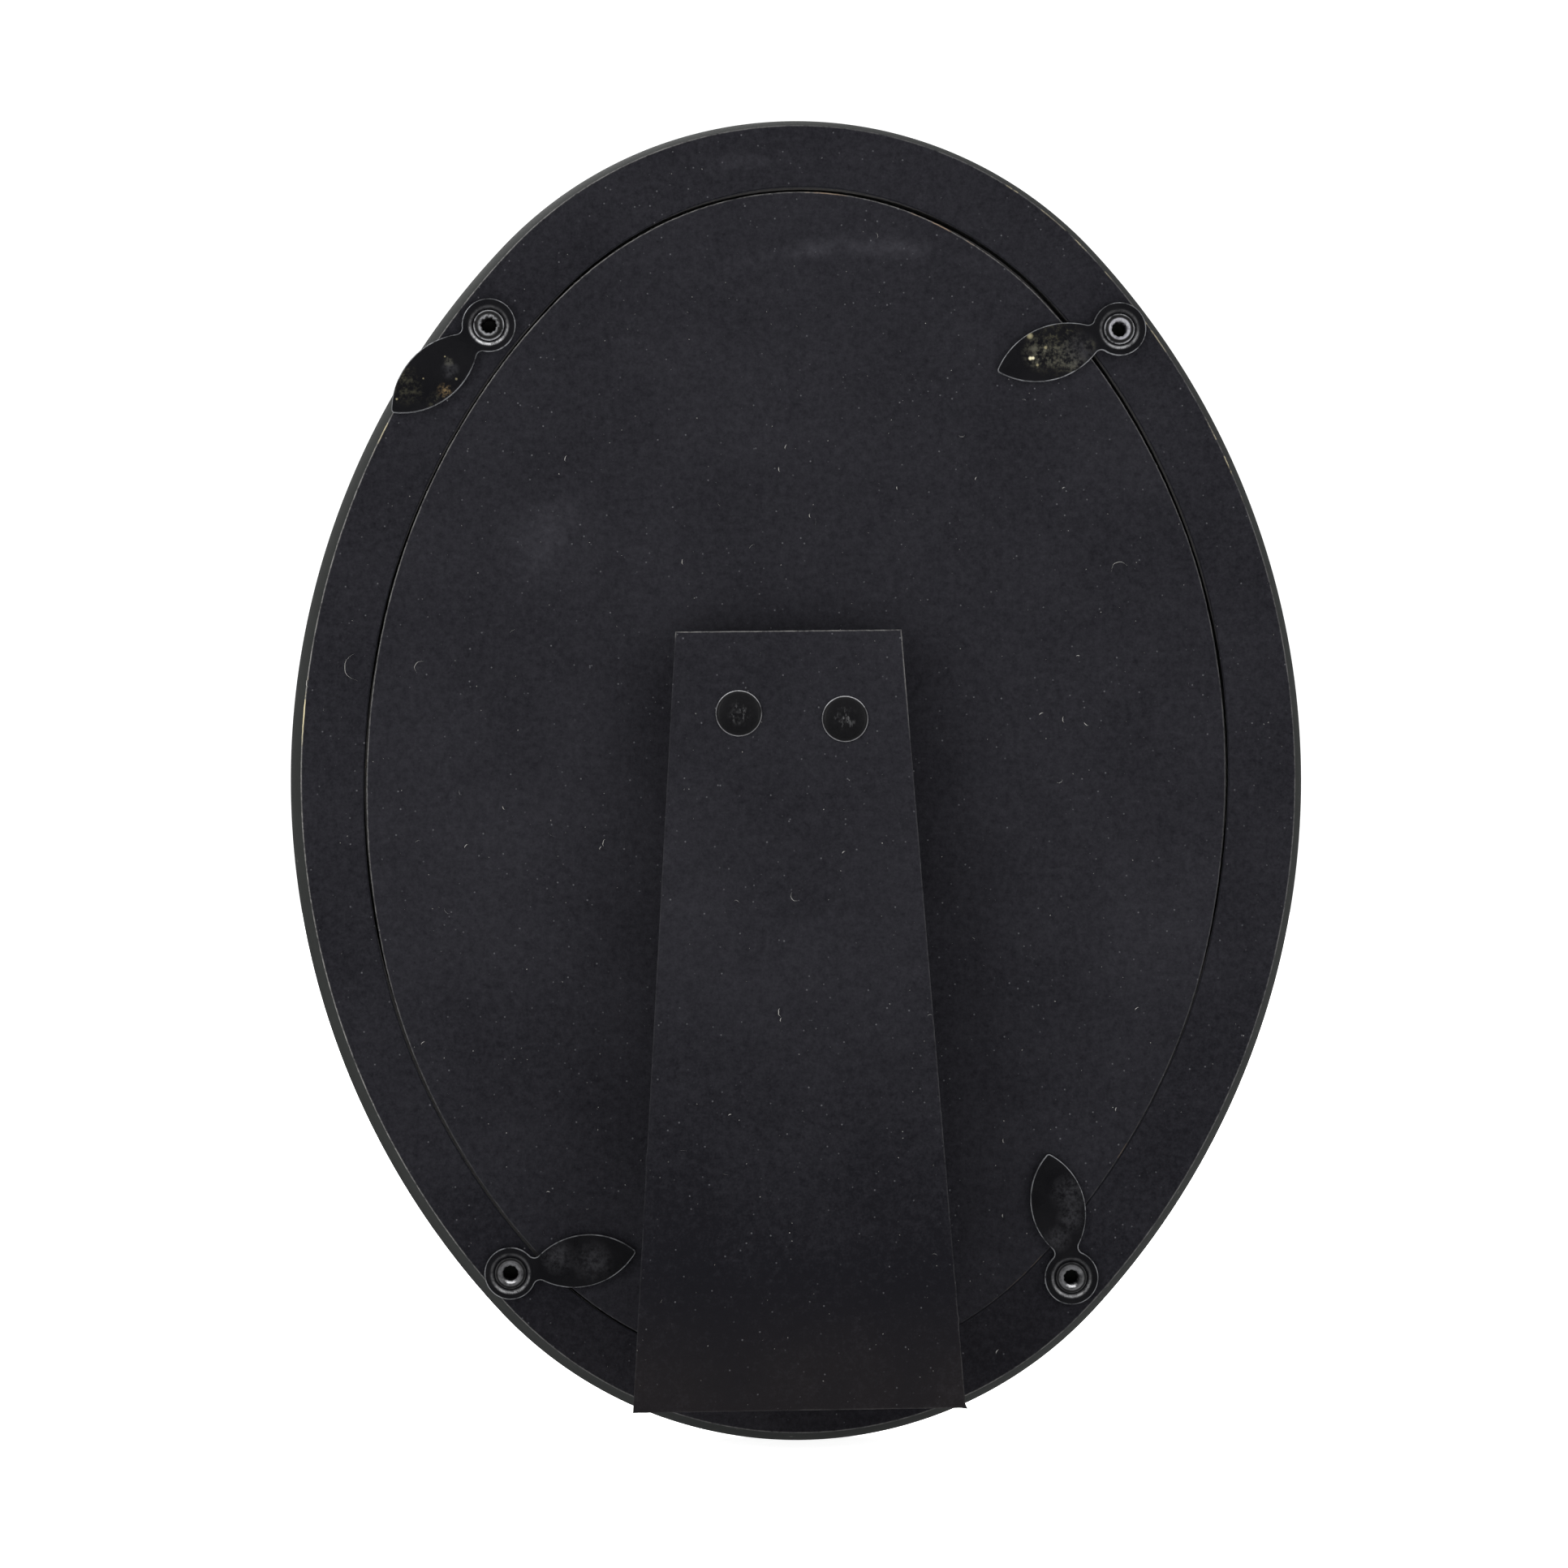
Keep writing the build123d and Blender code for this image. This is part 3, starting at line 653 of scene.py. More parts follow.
def rivetBlack(name):  # satin black heads, scratched in the middle of the dome
    f = Finish(name)
    fine = f.noise(2200)
    scratch = f.noise(1900, squeeze=(1, 1, 0.45)).ramp(0.53, 0.66)
    scuffed = f.noise(900).ramp(0.48, 0.66)
    rubbed = f.attribute("crown") * (scratch * 0.8 + scuffed * 0.25)
    # painted highlight on metal bared at the rim: the rim is near-white
    worn = f.attribute("edge") * (f.noise(600) + fine * 0.2).ramp(0.3, 0.66)
    f.colour = f.blend(fine, (0.0028, 0.0028, 0.0032), (0.007, 0.007, 0.0078))
    f.paint(rubbed * 0.65, (0.12, 0.12, 0.123))
    f.paint(worn, (0.8, 0.8, 0.82))
    rough = 0.28 + fine * 0.14 + rubbed * 0.1
    f.shade(rough, 0.07, {"Metallic": worn * 0.5}, fine + rubbed * 0.5, 0.00003)


def dullSteel(name):  # zinc gone grey, with the marks of the rolling
    f = Finish(name)
    rolled = f.noise(1600, 3.0, 0.6, squeeze=(0.12, 1, 1))
    cloud = f.noise(240, 4.0, 0.65)
    fine = f.noise(3200, 3.0, 0.7)
    rust = (f.noise(330, 5.0, 0.75) + fine * 0.2).ramp(0.68, 0.8)
    tone = rolled * 0.6 + cloud * 0.4
    f.colour = f.blend(tone, (0.2, 0.2, 0.205), (0.43, 0.425, 0.415))
    f.paint(rust * 0.7, (0.13, 0.062, 0.028))
    rough = 0.36 + cloud * 0.2 + rust * 0.3
    metal = {"Metallic": 0.92 - rust * 0.7}
    f.shade(rough, 0.5, metal, rolled + fine * 0.6 + rust, 0.00003)


def clearGlass(name):  # picture glass, with a little dust near the lip
    f = Finish(name)
    dusty = f.growth().ramp(-0.022, -0.006) * f.noise(1400).ramp(0.45, 0.75)
    smear = f.noise(38, 4.0, 0.6)
    rough = 0.01 + smear * 0.025 + dusty * 0.05
    clear = {"Transmission Weight": 1.0, "IOR": 1.5}
    f.colour = (0.965, 0.985, 0.975, 1)
    f.shade(rough, 0.5, clear, smear, 0.000004)


def card(name, pale, deep, speck):  # paper or pulp board, felted, with darker fibres
    f = Finish(name)
    felt = f.noise(1500)
    cloud = f.noise(34, 4.0, 0.6)
    hair = f.noise(800, 3.0, 0.6, squeeze=(1, 1, 5)).ramp(0.6, 0.72)
    f.colour = f.blend(felt * 0.5 + cloud * 0.5, deep, pale)
    f.paint(hair * 0.35, speck)
    # painted shade: the card is darker towards its edge, under the moulding's lip
    f.paint(f.growth().ramp(-0.016, -0.004) * 0.22, deep)
    f.shade(0.8 + felt * 0.15, 0.3, {}, felt, 0.00003)


def lintFluff(name):
    f = Finish(name)
    tone = f.noise(400, 2.0, 0.5)
    f.colour = f.blend(tone, (0.18, 0.175, 0.165), (0.42, 0.412, 0.4))
    f.shade(0.8 + tone * 0.1, 0.2, {}, tone, 0.00001)


# Scuffs are arcs: across, up, radius, width, the spot that shows them, and strength
boardScuffs = [
    (10.2, 24.7, 56.9, 2.2, (8.0, 82.0, 30.0), 0.55),
    (2.0, 10.0, 48.5, 9.0, (-39.0, 38.0, 17.0), 0.34),
]
ringScuffs = [(0.0, 10.0, 85.0, 2.0, (-7.0, 95.0, 15.0), 0.3)]
ringBare = [  # across, up, radius
    (33.5, 87.5, 9.0), (44.0, 80.0, 8.0), (55.0, 69.5, 7.0), (65.5, 49.4, 9.0), (-76.0, 10.0, 7.0),
    (-60.0, 55.0, 9.0),
]
boardBare = [(22.0, 84.8, 9.5), (4.0, 89.0, 5.0), (36.0, -75.5, 12.0), (49.0, -58.0, 8.0)]
blackNap("ringNap", ringScuffs, ringBare, 0.3, -0.09, 0.1, "chipped")
blackNap("boardNap", boardScuffs, boardBare, 1.7, 0.0, 0.1)
blackNap("strutNap", seed=3.1, footShadeAndTint=0.34)
blackNap("strutInnerNap", seed=4.6)
blackLacquer("blackLacquer")
fibreboard("ringFibre", 0.6, 0.2)
fibreboard("boardFibre", 0.35, 0.9)
fibreboard("strutFibre", 0.5, 1.6)
rivetBlack("rivetBlack")
dullSteel("dullSteel")
clearGlass("clearGlass")
card("ivoryCard", (0.5, 0.462, 0.39), (0.425, 0.388, 0.318), (0.28, 0.24, 0.185))
card("greyCard", (0.3, 0.29, 0.27), (0.205, 0.195, 0.18), (0.12, 0.1, 0.08))
lintFluff("lintFluff")
print("finishes made:", len(finishes))

# CAD nodes whose shape is right keep it and take a finish
keptNodes = {
    "carrier_ring": "ringFibre", "backing_board": "boardFibre", "strut_board": "strutFibre",
    "hinge_base_leaf": "dullSteel", "hinge_strut_leaf": "dullSteel", "hinge_pin": "dullSteel",
    "hinge_rivet_left": "dullSteel", "hinge_rivet_right": "dullSteel",
    "glass_pane": "clearGlass", "filler_card": "greyCard",
}
for node, finish in keptNodes.items():
    for materialSlot in frame["nodes"][node].material_slots:
        materialSlot.material = finishes[finish]
frame["nodes"]["glass_pane"].visible_shadow = False
print("CAD nodes finished:", len(keptNodes))

# Front moulding: X of the section outwards from the rabbet, Y backwards from the front face
moulding = {
    "depth": 13.0, "rimReach": 12.17, "rimDepth": 4.6, "rimRadius": 2.3, "backReach": 9.9,
    "crownWidth": 1.4, "crownInner": 1.3, "crownStep": 0.9, "ledge": 0.7, "coveDepth": 6.2,
    "coveSag": 1.4, "sight": 6.0, "bead": 1.1, "beadStep": 0.5, "bevel": 0.5, "lip": 9.2,
    "softCorner": 0.18, "steps": 400, "sharp": 32,
}


def bowed(start, end, sag, count):  # arc between two points, dipping backwards by sag
    start, end = np.array(start, float), np.array(end, float)
    chord = np.linalg.norm(end - start)
    radius = (chord**2 / 4 + sag**2) / (2 * sag)
    away = np.array([-(end - start)[1], (end - start)[0]]) / chord
    away = away if away[1] > 0 else -away
    middle = (start + end) / 2 - away * (radius - sag)
    half = atan2(chord / 2, radius - sag)
    turns = np.linspace(-half, half, count)
    along = (end - start) / chord
    return [tuple(middle + radius * (away * cos(t) + along * sin(t))) for t in turns]


def softCorners(points, radius):
    soft = []
    for i, point in enumerate(points):
        here = np.array(point)
        before, after = np.array(points[i - 1]), np.array(points[(i + 1) % len(points)])
        a, b = before - here, after - here
        la, lb = np.linalg.norm(a), np.linalg.norm(b)
        if np.dot(a, b) / (la * lb) < -0.9:  # nearly straight
            soft.append(tuple(here))
            continue
        cut = min(radius, la * 0.4, lb * 0.4)
        first, last = here + a / la * cut, here + b / lb * cut
        for t in (0, 0.33, 0.67, 1):
            soft.append(tuple(first * (1 - t) ** 2 + 2 * here * t * (1 - t) + last * t * t))
    return soft


def mouldingSection(m):
    crownOuter = m["rimReach"] - m["rimRadius"]
    crownInner = crownOuter - m["crownWidth"]
    crownFoot = crownInner - m["crownInner"]
    crownLow = m["crownInner"] + m["crownStep"]
    coveOuter = crownFoot - m["ledge"]
    beadInner = m["bevel"] - m["sight"]
    beadMiddle = beadInner + m["bead"]
    beadOuter = beadMiddle + m["bead"]
    lean, drop = m["rimReach"] - m["backReach"], m["depth"] - m["rimDepth"]
    backRadius = (lean**2 + drop**2) / (2 * lean)
    backTurn = atan2(drop, backRadius - lean)
    back = arcPoints(m["rimReach"] - backRadius, m["rimDepth"], backRadius, backTurn, 0, 0.9)
    points = [(0, m["lip"]), (0, m["depth"]), (m["backReach"], m["depth"]), *back[1:]]
    points += [*arcPoints(crownOuter, m["rimRadius"], m["rimRadius"], 0, -pi / 2, 0.3)]
    points += [*arcPoints(crownInner, m["crownInner"], m["crownInner"], -pi / 2, -pi, 0.25)]
    points += [(crownFoot, crownLow)]
    coveInner = (beadOuter + m["ledge"], m["coveDepth"])
    points += bowed((coveOuter, crownLow), coveInner, m["coveSag"], 18)
    points += [(beadOuter, m["coveDepth"])]
    points += [*arcPoints(beadMiddle, m["coveDepth"] - m["beadStep"], m["bead"], 0, -pi, 0.25)]
    points += [(beadInner, m["coveDepth"]), (-m["sight"], m["coveDepth"] + m["bevel"])]
    return softCorners(points + [(-m["sight"], m["lip"])], m["softCorner"])


sectionCurve = bpy.data.curves.new("mouldingSection", "CURVE")
sectionSpline = sectionCurve.splines.new("POLY")
sectionPoints = mouldingSection(moulding)
sectionSpline.points.add(len(sectionPoints) - 1)
for knot, (out, back) in zip(sectionSpline.points, sectionPoints):
    knot.co = (out, -back, 0, 1)
sectionSpline.use_cyclic_u = True
mouldingMesh = runTree(
    "moulding", mouldingTree(), bpy.data.meshes.new("mouldingBase"), "blackLacquer",
    HalfWidth=oval["halfWidth"], HalfHeight=oval["halfHeight"], EndShare=oval["endShare"],
    Steps=moulding["steps"], Section=sectionCurve,
)
mouldingMesh.transform(backPlane(0))
mouldingMesh = joinMeshes("front_moulding_lacquered", [mouldingMesh])
smooth(mouldingMesh, moulding["sharp"])
addPiece(mouldingMesh, None, "frame", "lacquered_wood", "blackLacquer", "front_moulding")

# Flocked papers, with their hand-cut edges
paper = {"thickness": 0.4, "roll": 0.1, "rim": 0.13, "step": 0.32, "ragged": 0.03, "grain": 0.8}
ringSheet = {"width": 9.65, "low": 15.6, "across": -0.44, "up": -0.2, "skew": -1.4, "hole": 1.55}
boardSheet = {
    "clearance": 0.4, "across": -0.45, "up": -0.52, "skew": -1.0, "low": 15.5,
    "hole": 1.55, "rivetAcross": 9.0, "rivetDrop": -19.5,  # the rivets of the base leaf
}
buttons = {  # where on the ring, which way the leaf lies, how its dimple glints, its own sizes
    "upper_left": {"side": -1, "arcShare": 0.87, "ringShare": 0.47, "leaf": 222.3, "glint": 1.0},
    "upper_right": {"side": 1, "arcShare": 0.858, "ringShare": 0.58, "leaf": 199.3, "glint": 0.4},
    "lower_left": {"side": -1, "arcShare": -0.956, "ringShare": 0.62, "leaf": 9.7, "glint": 0.42},
    "lower_right": {"side": 1, "arcShare": -0.984, "ringShare": 0.48, "leaf": 100.6, "glint": 0.46},
}
for place, reach in zip(buttons, (20.0, 20.0, 19.4, 19.25)):
    buttons[place]["reach"] = reach
buttons["lower_left"] |= {"halfWidth": 3.95, "disc": 3.95}
strut = {
    "top": 34.3, "foot": 49.4, "head": 5.734, "reach": 111.166, "low": 1.75, "high": 4.95,
    "opening": 5.0, "skew": 0.65, "hole": 1.55,
    "rivetPitch": 16.1, "rivetDrop": 13.1, "rivetShift": 0.34, "rivetSkew": -3.6,
    "nub": (0.3, -0.15),  # a bent corner
    "tufts": [  # across, up, reach, width
        (24.6, -93.2, 0.28, 0.9), (24.2, -98.0, 0.16, 0.6), (-22.6, -74.0, 0.14, 1.2),
    ],
}
handCut = [  # how far the cut line strays outwards, every 10 degrees from the left, anticlockwise
    -0.45, -0.25, 0.0, 0.38, 0.48, 0.45, 0.33, 0.0, -0.05, 0.0, 0.0, 0.0,
    0.15, 0.25, 0.32, 0.25, -0.03, -0.26, -0.3, -0.17, 0.03, 0.28, 0.24, 0.28,
    0.08, -0.28, 0.2, 0.4, 0.15, -0.2, 0.18, 0.2, 0.18, 0.06, -0.16, -0.38,
]


def strayed(loop, sheet):
    bearings = np.degrees(np.arctan2(loop[:, 1] - sheet["up"], loop[:, 0] - sheet["across"]))
    knots = np.arange(-190, 191, 10)
    values = [handCut[-1], *handCut, handCut[0], handCut[1]]
    stray = sum(np.interp(bearings + nudge, knots, values) for nudge in (-4, 0, 4)) / 3
    return loop - inward(loop) * stray[:, None]


def cutOval(growth, sheet):
    loop = ovalLoop(growth, paper["step"], sheet["across"], sheet["up"], sheet["skew"])
    return strayed(loop, sheet)


def eyeletSpot(button):
    bearing = button["arcShare"] * ovalSideAngle
    arc = ovalSide + button["ringShare"] * ringSheet["width"]
    return button["side"] * (arc * cos(bearing) - ovalSideShift), arc * sin(bearing)


def flockSheet(name, outline, holes, seed, edgeShares, wander=1.0):
    outline = ragged(outline, paper["ragged"] * wander, paper["grain"], seed)
    holes = [hole[::-1] for hole in holes]
    top, roll, rim = level(paper["thickness"]), paper["roll"], paper["rim"]
    return cutSheet(name, outline, holes, top, level(0), roll, rim, (), edgeShares)


def grown(values, start, run):  # 0 up to start, 1 from a run further on
    return np.clip((values - start) / run, 0, 1)


def hump(values, at, width):  # 1 at a value, falling to 0 on both sides of it
    return np.exp(-(((values - at) / width) ** 2))


eyeletSpots = {place: eyeletSpot(button) for place, button in buttons.items()}
ringHoles = [ringLoop(x, y, ringSheet["hole"]) for x, y in eyeletSpots.values()]
ringInside = ragged(cutOval(0, ringSheet), paper["ragged"], paper["grain"], 9.0)
ringOutside = ovalLoop(ringSheet["width"], paper["step"])
x, y = ringOutside.T
# frayed fibres and painted highlight, stronger on one side of the ring, away from its bottom
ringFrayAndHighlight = 0.36 + 0.59 * grown(-x, -5, 50) * grown(y, -90, 45)
# the ring's opening is marked below nought, which paints shade along it
ringCuts, ringEdgeShares = [ringInside, *ringHoles], [ringFrayAndHighlight, -1, 0, 0, 0, 0]
ringMesh = flockSheet("ring_flocked_paper", ringOutside, ringCuts, 2.0, ringEdgeShares, 0.7)
ringPlace = backPlane(ringSheet["low"])
ringPiece = addPiece(ringMesh, ringPlace, "frame", "black_flock", "ringNap", "ring_flock")

toBoard = backPlane(0).inverted() @ hingePlane(0)
leafHoles = []
for side in (-1, 1):
    spot = toBoard @ Vector((side * boardSheet["rivetAcross"], boardSheet["rivetDrop"], 0))
    leafHoles.append(ringLoop(spot.x, spot.y, boardSheet["hole"]))
boardLoop = cutOval(-boardSheet["clearance"], boardSheet)
x, y = boardLoop.T
# frayed fibres and painted highlight, stronger along the top and one side of the board's edge
boardFrayAndHighlight = 0.1 + 0.18 * grown(y, -70, 110) + 0.3 * grown(y, 55, 25)
boardFrayAndHighlight += 0.4 * grown(-x, 15, 30) * grown(y, -60, 50)
boardMesh = flockSheet("board_flocked_paper", boardLoop, leafHoles, 4.0, [boardFrayAndHighlight, 0, 0])
boardPlace = backPlane(boardSheet["low"])
boardPiece = addPiece(boardMesh, boardPlace, "frame", "black_flock", "boardNap", "board_flock")


def strutLoop(step):
    corners = [
        (-strut["foot"] / 2, -strut["reach"]), (strut["foot"] / 2, -strut["reach"]),
        (strut["top"] / 2, strut["head"]), (-strut["top"] / 2, strut["head"]),
    ]
    loop = []
    for i, start in enumerate(corners):  # no points close to a corner: rolled edges would cross
        start, end = np.array(start), np.array(corners[(i + 1) % 4])
        count = round(np.linalg.norm(end - start) / step)
        loop += [start] + [start + (end - start) * k / count for k in range(2, count - 1)]
    loop = np.array(loop)
    corner = np.hypot(loop[:, 0] - strut["foot"] / 2, loop[:, 1] + strut["reach"]) < 0.01
    loop[corner] += strut["nub"]
    for across, up, reach, width in strut["tufts"]:
        off = np.hypot(loop[:, 0] - across, loop[:, 1] - up)
        loop[:, 0] += np.sign(across) * reach * hump(off, 0, width)
    return loop


def strutFrayAndHighlight(loop):  # the head's edge, and the right side below it, are lighter: frayed nap and a painted highlight where these edges catch the light
    head = hump(loop[:, 1], strut["head"], 0.8) * 0.75
    right = (loop[:, 0] > 0) * (0.08 + 0.47 * grown(loop[:, 1], -12, 12))
    return np.maximum(head, np.maximum(right, 0.03))


def strutRivets():
    skew = radians(strut["rivetSkew"])
    run, climb = strut["rivetPitch"] / 2 * cos(skew), strut["rivetPitch"] / 2 * sin(skew)
    line = strut["head"] - strut["rivetDrop"]
    return [(strut["rivetShift"] + side * run, line + side * climb) for side in (-1, 1)]


strutFace = hingePlane(strut["opening"])
strutHoles = [ringLoop(x, y, strut["hole"]) for x, y in strutRivets()]
strutPieces = {}
for side, low, finish, slot, seed in (
    ("outer", strut["high"] - paper["thickness"], "strutNap", "strut_flock", 6.0),
    ("inner", strut["low"], "strutInnerNap", "black_flock", 8.0),
):
    loop = strutLoop(paper["step"])
    mesh = flockSheet(f"strut_{side}_paper", loop, strutHoles, seed, [strutFrayAndHighlight(loop), 0, 0])
    place = strutFace @ Matrix.Translation((0, 0, low))
    strutPieces[side] = addPiece(mesh, place, "strut", slot, finish, f"strut_flock_{side}")
print("flocked papers: 4")

# Blank picture card, with a little air between it and the glass
cardSheet = {
    "clearance": 1.5, "front": 11.24, "thickness": 0.22, "step": 1.2, "roll": 0.03, "rim": 0.2,
}
cardMesh = cutSheet(
    "picture_card_blank", ovalLoop(-cardSheet["clearance"], cardSheet["step"]), [],
    level(cardSheet["thickness"]), level(0), cardSheet["roll"], cardSheet["rim"],
)
cardPlace = backPlane(cardSheet["front"])
addPiece(cardMesh, cardPlace, "frame", "ivory_card", "ivoryCard", "picture_card")
print("picture card:", len(cardMesh.polygons), "faces")

# Turn buttons: disc, dimple and leaf, stamped from one sheet
buttonShape = {
    "disc": 4.1, "hole": 1.55, "floor": 2.5, "dimple": 3.0, "reach": 19.6, "belly": 11.0,
    "halfWidth": 4.15, "tip": 0.5, "neck": 1.0, "sheet": 0.5, "lift": 0.4, "crown": 0.1,
    "valley": 0.05, "valleyAt": 3.55, "valleyWidth": 0.28, "leafFrom": 4.2, "leafRun": 2.0,
    "crease": 0.05, "creaseAt": 5.0, "creaseWidth": 0.35, "dents": 0.02, "dentGrain": 0.55,
    "lipAt": 2.86, "lipWidth": 0.15, "roll": 0.1, "rim": 0.07, "step": 0.28, "holeStep": 0.22,
    "sharp": 42, "seat": 16.0, "wearAbove": 0.3, "lipAbove": 0.55,
    "grid": 0.42, "gridFrom": 3.9, "gridTo": 19.3, "gridSide": 3.95, "edgeGap": 0.62,
    "rings": (2.15, 2.5, 2.65, 2.8, 2.95, 3.05, 3.2, 3.4, 3.55, 3.7),
}


def buttonOutline(b):
    step, run, half = b["step"], b["reach"] - b["belly"], b["halfWidth"]
    side = (run**2 + half**2) / (2 * half)
    ax, ay = b["belly"], half - side
    far = hypot(ax, ay)
    near, wide = b["disc"] + b["neck"], side + b["neck"]
    share = (near**2 - wide**2 + far**2) / (2 * far)
    rise = sqrt(near**2 - share**2)
    nx, ny = (share * ax - rise * ay) / far, (share * ay + rise * ax) / far
    touch = atan2(ny, nx)
    tipX = ax + sqrt((side - b["tip"]) ** 2 - ay**2)
    tipTurn = atan2(-ay, tipX - ax)
    neckEnd = atan2(ny - ay, nx - ax)
    upper = [
        arcPoints(tipX, 0, b["tip"], 0, tipTurn, step / 3)[:-1],
        arcPoints(ax, ay, side, tipTurn, neckEnd, step)[:-1],
        arcPoints(nx, ny, b["neck"], neckEnd - pi, touch - pi, step / 2)[:-1],
        arcPoints(0, 0, b["disc"], touch, pi, step),
    ]
    upper = np.concatenate(upper)
    return np.concatenate([upper, upper[1:-1][::-1] * (1, -1)])


def ease(t):
    t = np.clip(t, 0, 1)
    return t * t * (3 - 2 * t)


def buttonHeights(b, seed):
    high = b["lift"] + b["sheet"]

    def top(x, y):
        r = np.hypot(x, y)
        wall = ease((r - b["floor"] + 0.05) / (b["dimple"] - b["floor"] + 0.1))
        height = high - b["lift"] * (1 - wall)
        valley = hump(r, b["valleyAt"], b["valleyWidth"]) * b["valley"] * (x < 4.0)
        leaf = ease((x - b["leafFrom"]) / b["leafRun"])
        crown = leaf * b["crown"] * (y / b["halfWidth"]) ** 2
        crease = hump(x, b["creaseAt"], b["creaseWidth"]) * b["crease"]
        grain = b["dentGrain"]
        dents = [noise.noise(Vector((u * grain, v * grain, seed))) for u, v in zip(x, y)]
        return height - valley - crown - crease - leaf * b["dents"] * (1 + np.array(dents))

    def under(x, y):
        wall = (np.hypot(x, y) - b["floor"]) / (b["dimple"] - b["floor"])
        return b["lift"] * np.clip(wall, 0, 1)

    return top, under


def buttonInner(b, outline):
    step, start, side = b["grid"], b["gridFrom"], b["gridSide"]
    x, y = np.meshgrid(np.arange(start, b["gridTo"], step), np.arange(-start, side, step))
    grid = np.column_stack([(x + step / 2 * (np.round(y / step) % 2)).ravel(), y.ravel()])
    apart = np.hypot(grid[:, None, 0] - outline[:, 0], grid[:, None, 1] - outline[:, 1])
    clear = (np.min(apart, axis=1) > b["edgeGap"]) & (np.hypot(grid[:, 0], grid[:, 1]) > side)
    rings = [ringLoop(0, 0, radius) for radius in b["rings"]]
    return np.concatenate([*rings, grid[isInside(grid, outline) & clear]])


buttonPatches = {  # along the leaf, across it, radius, kind
    "upper_left": [
        (15.8, -0.8, 2.8, "olive"), (14.6, -2.9, 2.2, "olive"), (11.7, 3.0, 1.4, "rust"),
        (13.8, 3.2, 1.6, "olive"), (8.3, 0.1, 0.9, "moss"), (8.2, -0.9, 0.17, "tan"),
        (12.9, -0.6, 0.17, "tan"), (9.2, 2.8, 0.25, "tan"), (18.0, -1.0, 0.22, "tan"),
        (9.0, 1.2, 1.6, "grey"),
    ],
    "upper_right": [
        (10.4, -0.6, 5.2, "olive"), (13.0, -0.4, 3.0, "moss"), (10.1, 0.9, 2.8, "moss"),
        (8.3, 2.6, 2.2, "moss"), (8.6, -2.4, 3.4, "olive"), (7.0, 1.0, 3.4, "grey"),
        (5.2, 0.9, 1.2, "olive"), (13.4, -3.5, 0.6, "tan"), (14.5, -0.2, 0.36, "straw"),
        (14.1, -0.1, 0.32, "straw"), (11.7, -1.0, 0.32, "tan"), (13.8, 1.1, 0.28, "tan"),
    ],
    # the lower leaves' grey patches are painted sheen, a reflection along the leaf's curve
    "lower_left": [(7.5, 1.2, 3.0, "grey"), (12.6, -0.4, 3.6, "grey")],
    "lower_right": [(8.8, -1.6, 2.6, "grey"), (12.6, -2.0, 3.4, "grey"), (6.2, 1.0, 2.4, "grey")],
}
for index, (place, button) in enumerate(buttons.items()):
    shape = {**buttonShape, **button}  # no two leaves are quite alike
    outline, aim = buttonOutline(shape), radians(button["leaf"])
    hole = ringLoop(0, 0, shape["hole"], shape["holeStep"])[::-1]
    heights, inner = buttonHeights(shape, 3.0 * index), buttonInner(shape, outline)
    roll, rim, sharp = shape["roll"], shape["rim"], shape["sharp"]
    name = f"button_{place}_stamped"
    mesh = cutSheet(name, outline, [hole], *heights, roll, rim, inner, sharp=sharp)
    spots = np.array([v.co for v in mesh.vertices])
    radii = np.hypot(spots[:, 0], spots[:, 1])
    low = 0.5 - 0.5 * np.sin(np.arctan2(spots[:, 1], spots[:, 0]) + aim)  # 1 below the eyelet
    # painted highlight: where the lip glints, strongest below the eyelet
    lip = hump(radii, shape["lipAt"], shape["lipWidth"])
    lip = lip * (0.05 + 0.95 * low**3 * button["glint"])
    mark(mesh, "edge", marked(mesh, "edge") * (spots[:, 2] > shape["wearAbove"]))
    mark(mesh, "lip", lip * (spots[:, 2] > shape["lipAbove"]))
    x, y = eyeletSpots[place]
    patches = [
        (x + along * cos(aim) - over * sin(aim), y + along * sin(aim) + over * cos(aim), *rest)
        for along, over, *rest in buttonPatches[place]
    ]
    enamel = f"buttonEnamel_{place}"
    buttonEnamel(enamel, patches, 2.3 * index)
    seat = backPlane(shape["seat"]) @ Matrix.Translation((x, y, 0)) @ Matrix.Rotation(aim, 4, "Z")
    addPiece(mesh, seat, f"button_{place}", "black_button", enamel, f"turn_button_{place}")
print("turn buttons:", len(buttons))

# Eyelets and rivets are turned once and set on their places
setParts = partsTree()
eyeletShape = {
    "bore": 1.15, "shank": 1.5, "flange": 2.35, "low": 0.55, "high": 1.15, "foot": 2.6,
    "footLow": -2.9, "steps": 90, "turns": [0.3, 1.1, 0.7, 1.9],
    "petals": 10, "petalReach": 1.65, "petalFoot": 0.45, "petalEnd": 1.7, "petalRun": 0.3,
    "petalDepth": 0.12, "petalDrop": 0.04,
}


def eyeletProfile(e):
    low, high, bore, flange, shank = e["low"], e["high"], e["bore"], e["flange"], e["shank"]
    footLow, footHigh = e["footLow"], e["footLow"] + 0.5
    return [
        (bore, high - 0.42, 0.1), (bore, footLow, 0), (e["foot"], footLow, 0),
        (e["foot"], footHigh, 0), (shank, footHigh, 0), (shank, low, 0),
        (flange - 0.06, low, 0.2), (flange, low + 0.08, 0.9), (flange - 0.03, low + 0.2, 1),
        (flange - 0.1, low + 0.28, 0.6), (2.14, low + 0.32, 0.1), (2.02, low + 0.3, 0),
        (1.92, low + 0.33, 0), (1.82, high - 0.14, 0), (1.72, high - 0.04, 0.05),
        (1.6, high, 0.3), (1.5, high - 0.02, 0.65), (1.42, high - 0.07, 0.9),
        (1.34, high - 0.16, 1), (1.26, high - 0.3, 0.5),
    ]


